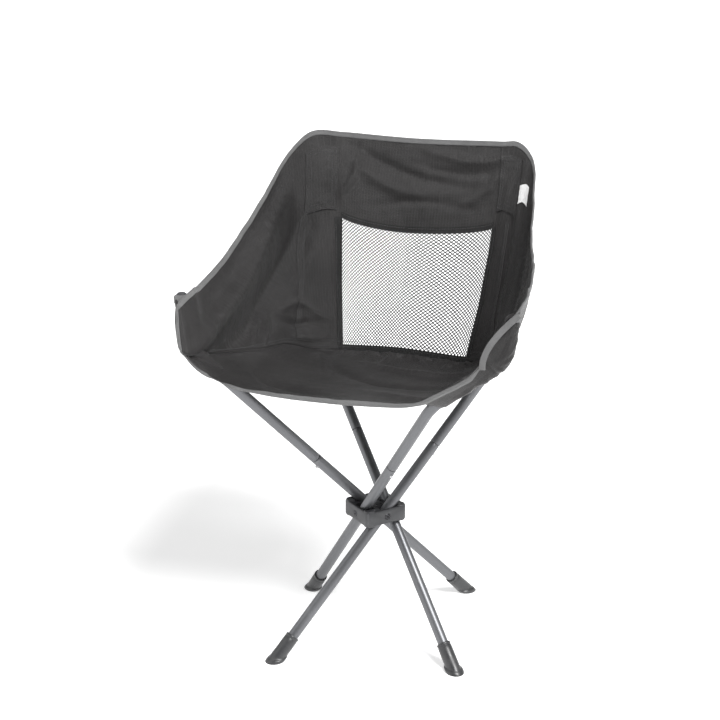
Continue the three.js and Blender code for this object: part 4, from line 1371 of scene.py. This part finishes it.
def make_studio():
    """The camera, a white floor, a world with bright sides and two lamps."""
    a, e = math.radians(AZIMUTH), math.radians(ELEVATION)
    back = vec(math.sin(a) * math.cos(e), -math.cos(a) * math.cos(e), math.sin(e))
    data = bpy.data.cameras.new("camera")
    data.sensor_width, data.lens = SENSOR, LENS
    camera = linked("camera", data)
    camera.location = Vector((AIM + back * DISTANCE) * MM + HUB_XY)
    camera.rotation_mode = "QUATERNION"
    camera.rotation_quaternion = Vector(-back).to_track_quat("-Z", "Y")
    bpy.context.scene.camera = camera

    floor_mesh = bpy.data.meshes.new("floor")
    size = FLOOR_HALF
    floor_mesh.from_pydata([(-size, -size, 0), (size, -size, 0), (size, size, 0), (-size, size, 0)], [],
                           [(0, 1, 2, 3)])
    floor_mesh.materials.append(floor_material())
    linked("floor", floor_mesh)

    world = bpy.data.worlds.new("studio")
    world.use_nodes = True
    nodes, links = world.node_tree.nodes, world.node_tree.links
    split = nodes.new("ShaderNodeSeparateXYZ")
    links.new(nodes.new("ShaderNodeTexCoord").outputs["Generated"], split.inputs[0])
    sideways = nodes.new("ShaderNodeMath")
    sideways.operation = "ABSOLUTE"
    links.new(split.outputs[0], sideways.inputs[0])
    boxes = ramp_of(nodes, *SIDE_GLOW)
    links.new(sideways.outputs[0], boxes.inputs[0])
    horizon = ramp_of(nodes, *HORIZON)
    links.new(split.outputs[2], horizon.inputs[0])
    together = nodes.new("ShaderNodeMix")
    together.data_type, together.blend_type = "RGBA", "LIGHTEN"
    together.inputs[0].default_value = 1.0
    links.new(boxes.outputs[0], together.inputs[6])
    links.new(horizon.outputs[0], together.inputs[7])
    links.new(together.outputs[2], nodes["Background"].inputs[0])
    bpy.context.scene.world = world
    for name, strength, spread, turn in LIGHTS:
        light = bpy.data.lights.new(name, "SUN")
        light.energy = strength
        light.angle = math.radians(spread)
        linked(name, light).rotation_euler = [math.radians(x) for x in turn]
    bpy.context.scene.view_settings.view_transform = "Standard"


# ---------------------------------------------------------------- assembly
def paint_cad(node, material):
    target = frame["nodes"][node]
    target.data.materials.clear()
    target.data.materials.append(material)


make_studio()
make_hub()
for leg in LEGS.values():
    make_tubes(leg)
    make_button(leg)
    make_spring(leg)
    make_foot(leg)
    make_bolt(leg)
    # The ferrules take the dark steel as painted shade: the gap at each fold joint lies in shadow.
    for node, material in (("pivot_nut", STEEL), ("ferrule", DARK_STEEL_AND_SHADE), ("end_cap", CAP)):
        paint_cad(f"{leg.corner}_{node}", material)
make_wings()
make_seat()
make_back_panels()
make_net()
make_net_border()
make_patches()
make_panel_seams()
make_stitching()
make_bindings()
for leg in LEGS.values():
    if leg.sleeve:
        make_sleeve(leg)
        if leg.corner == "front_left":
            make_tip_cap(leg)
    else:
        make_pocket(leg)
make_label()
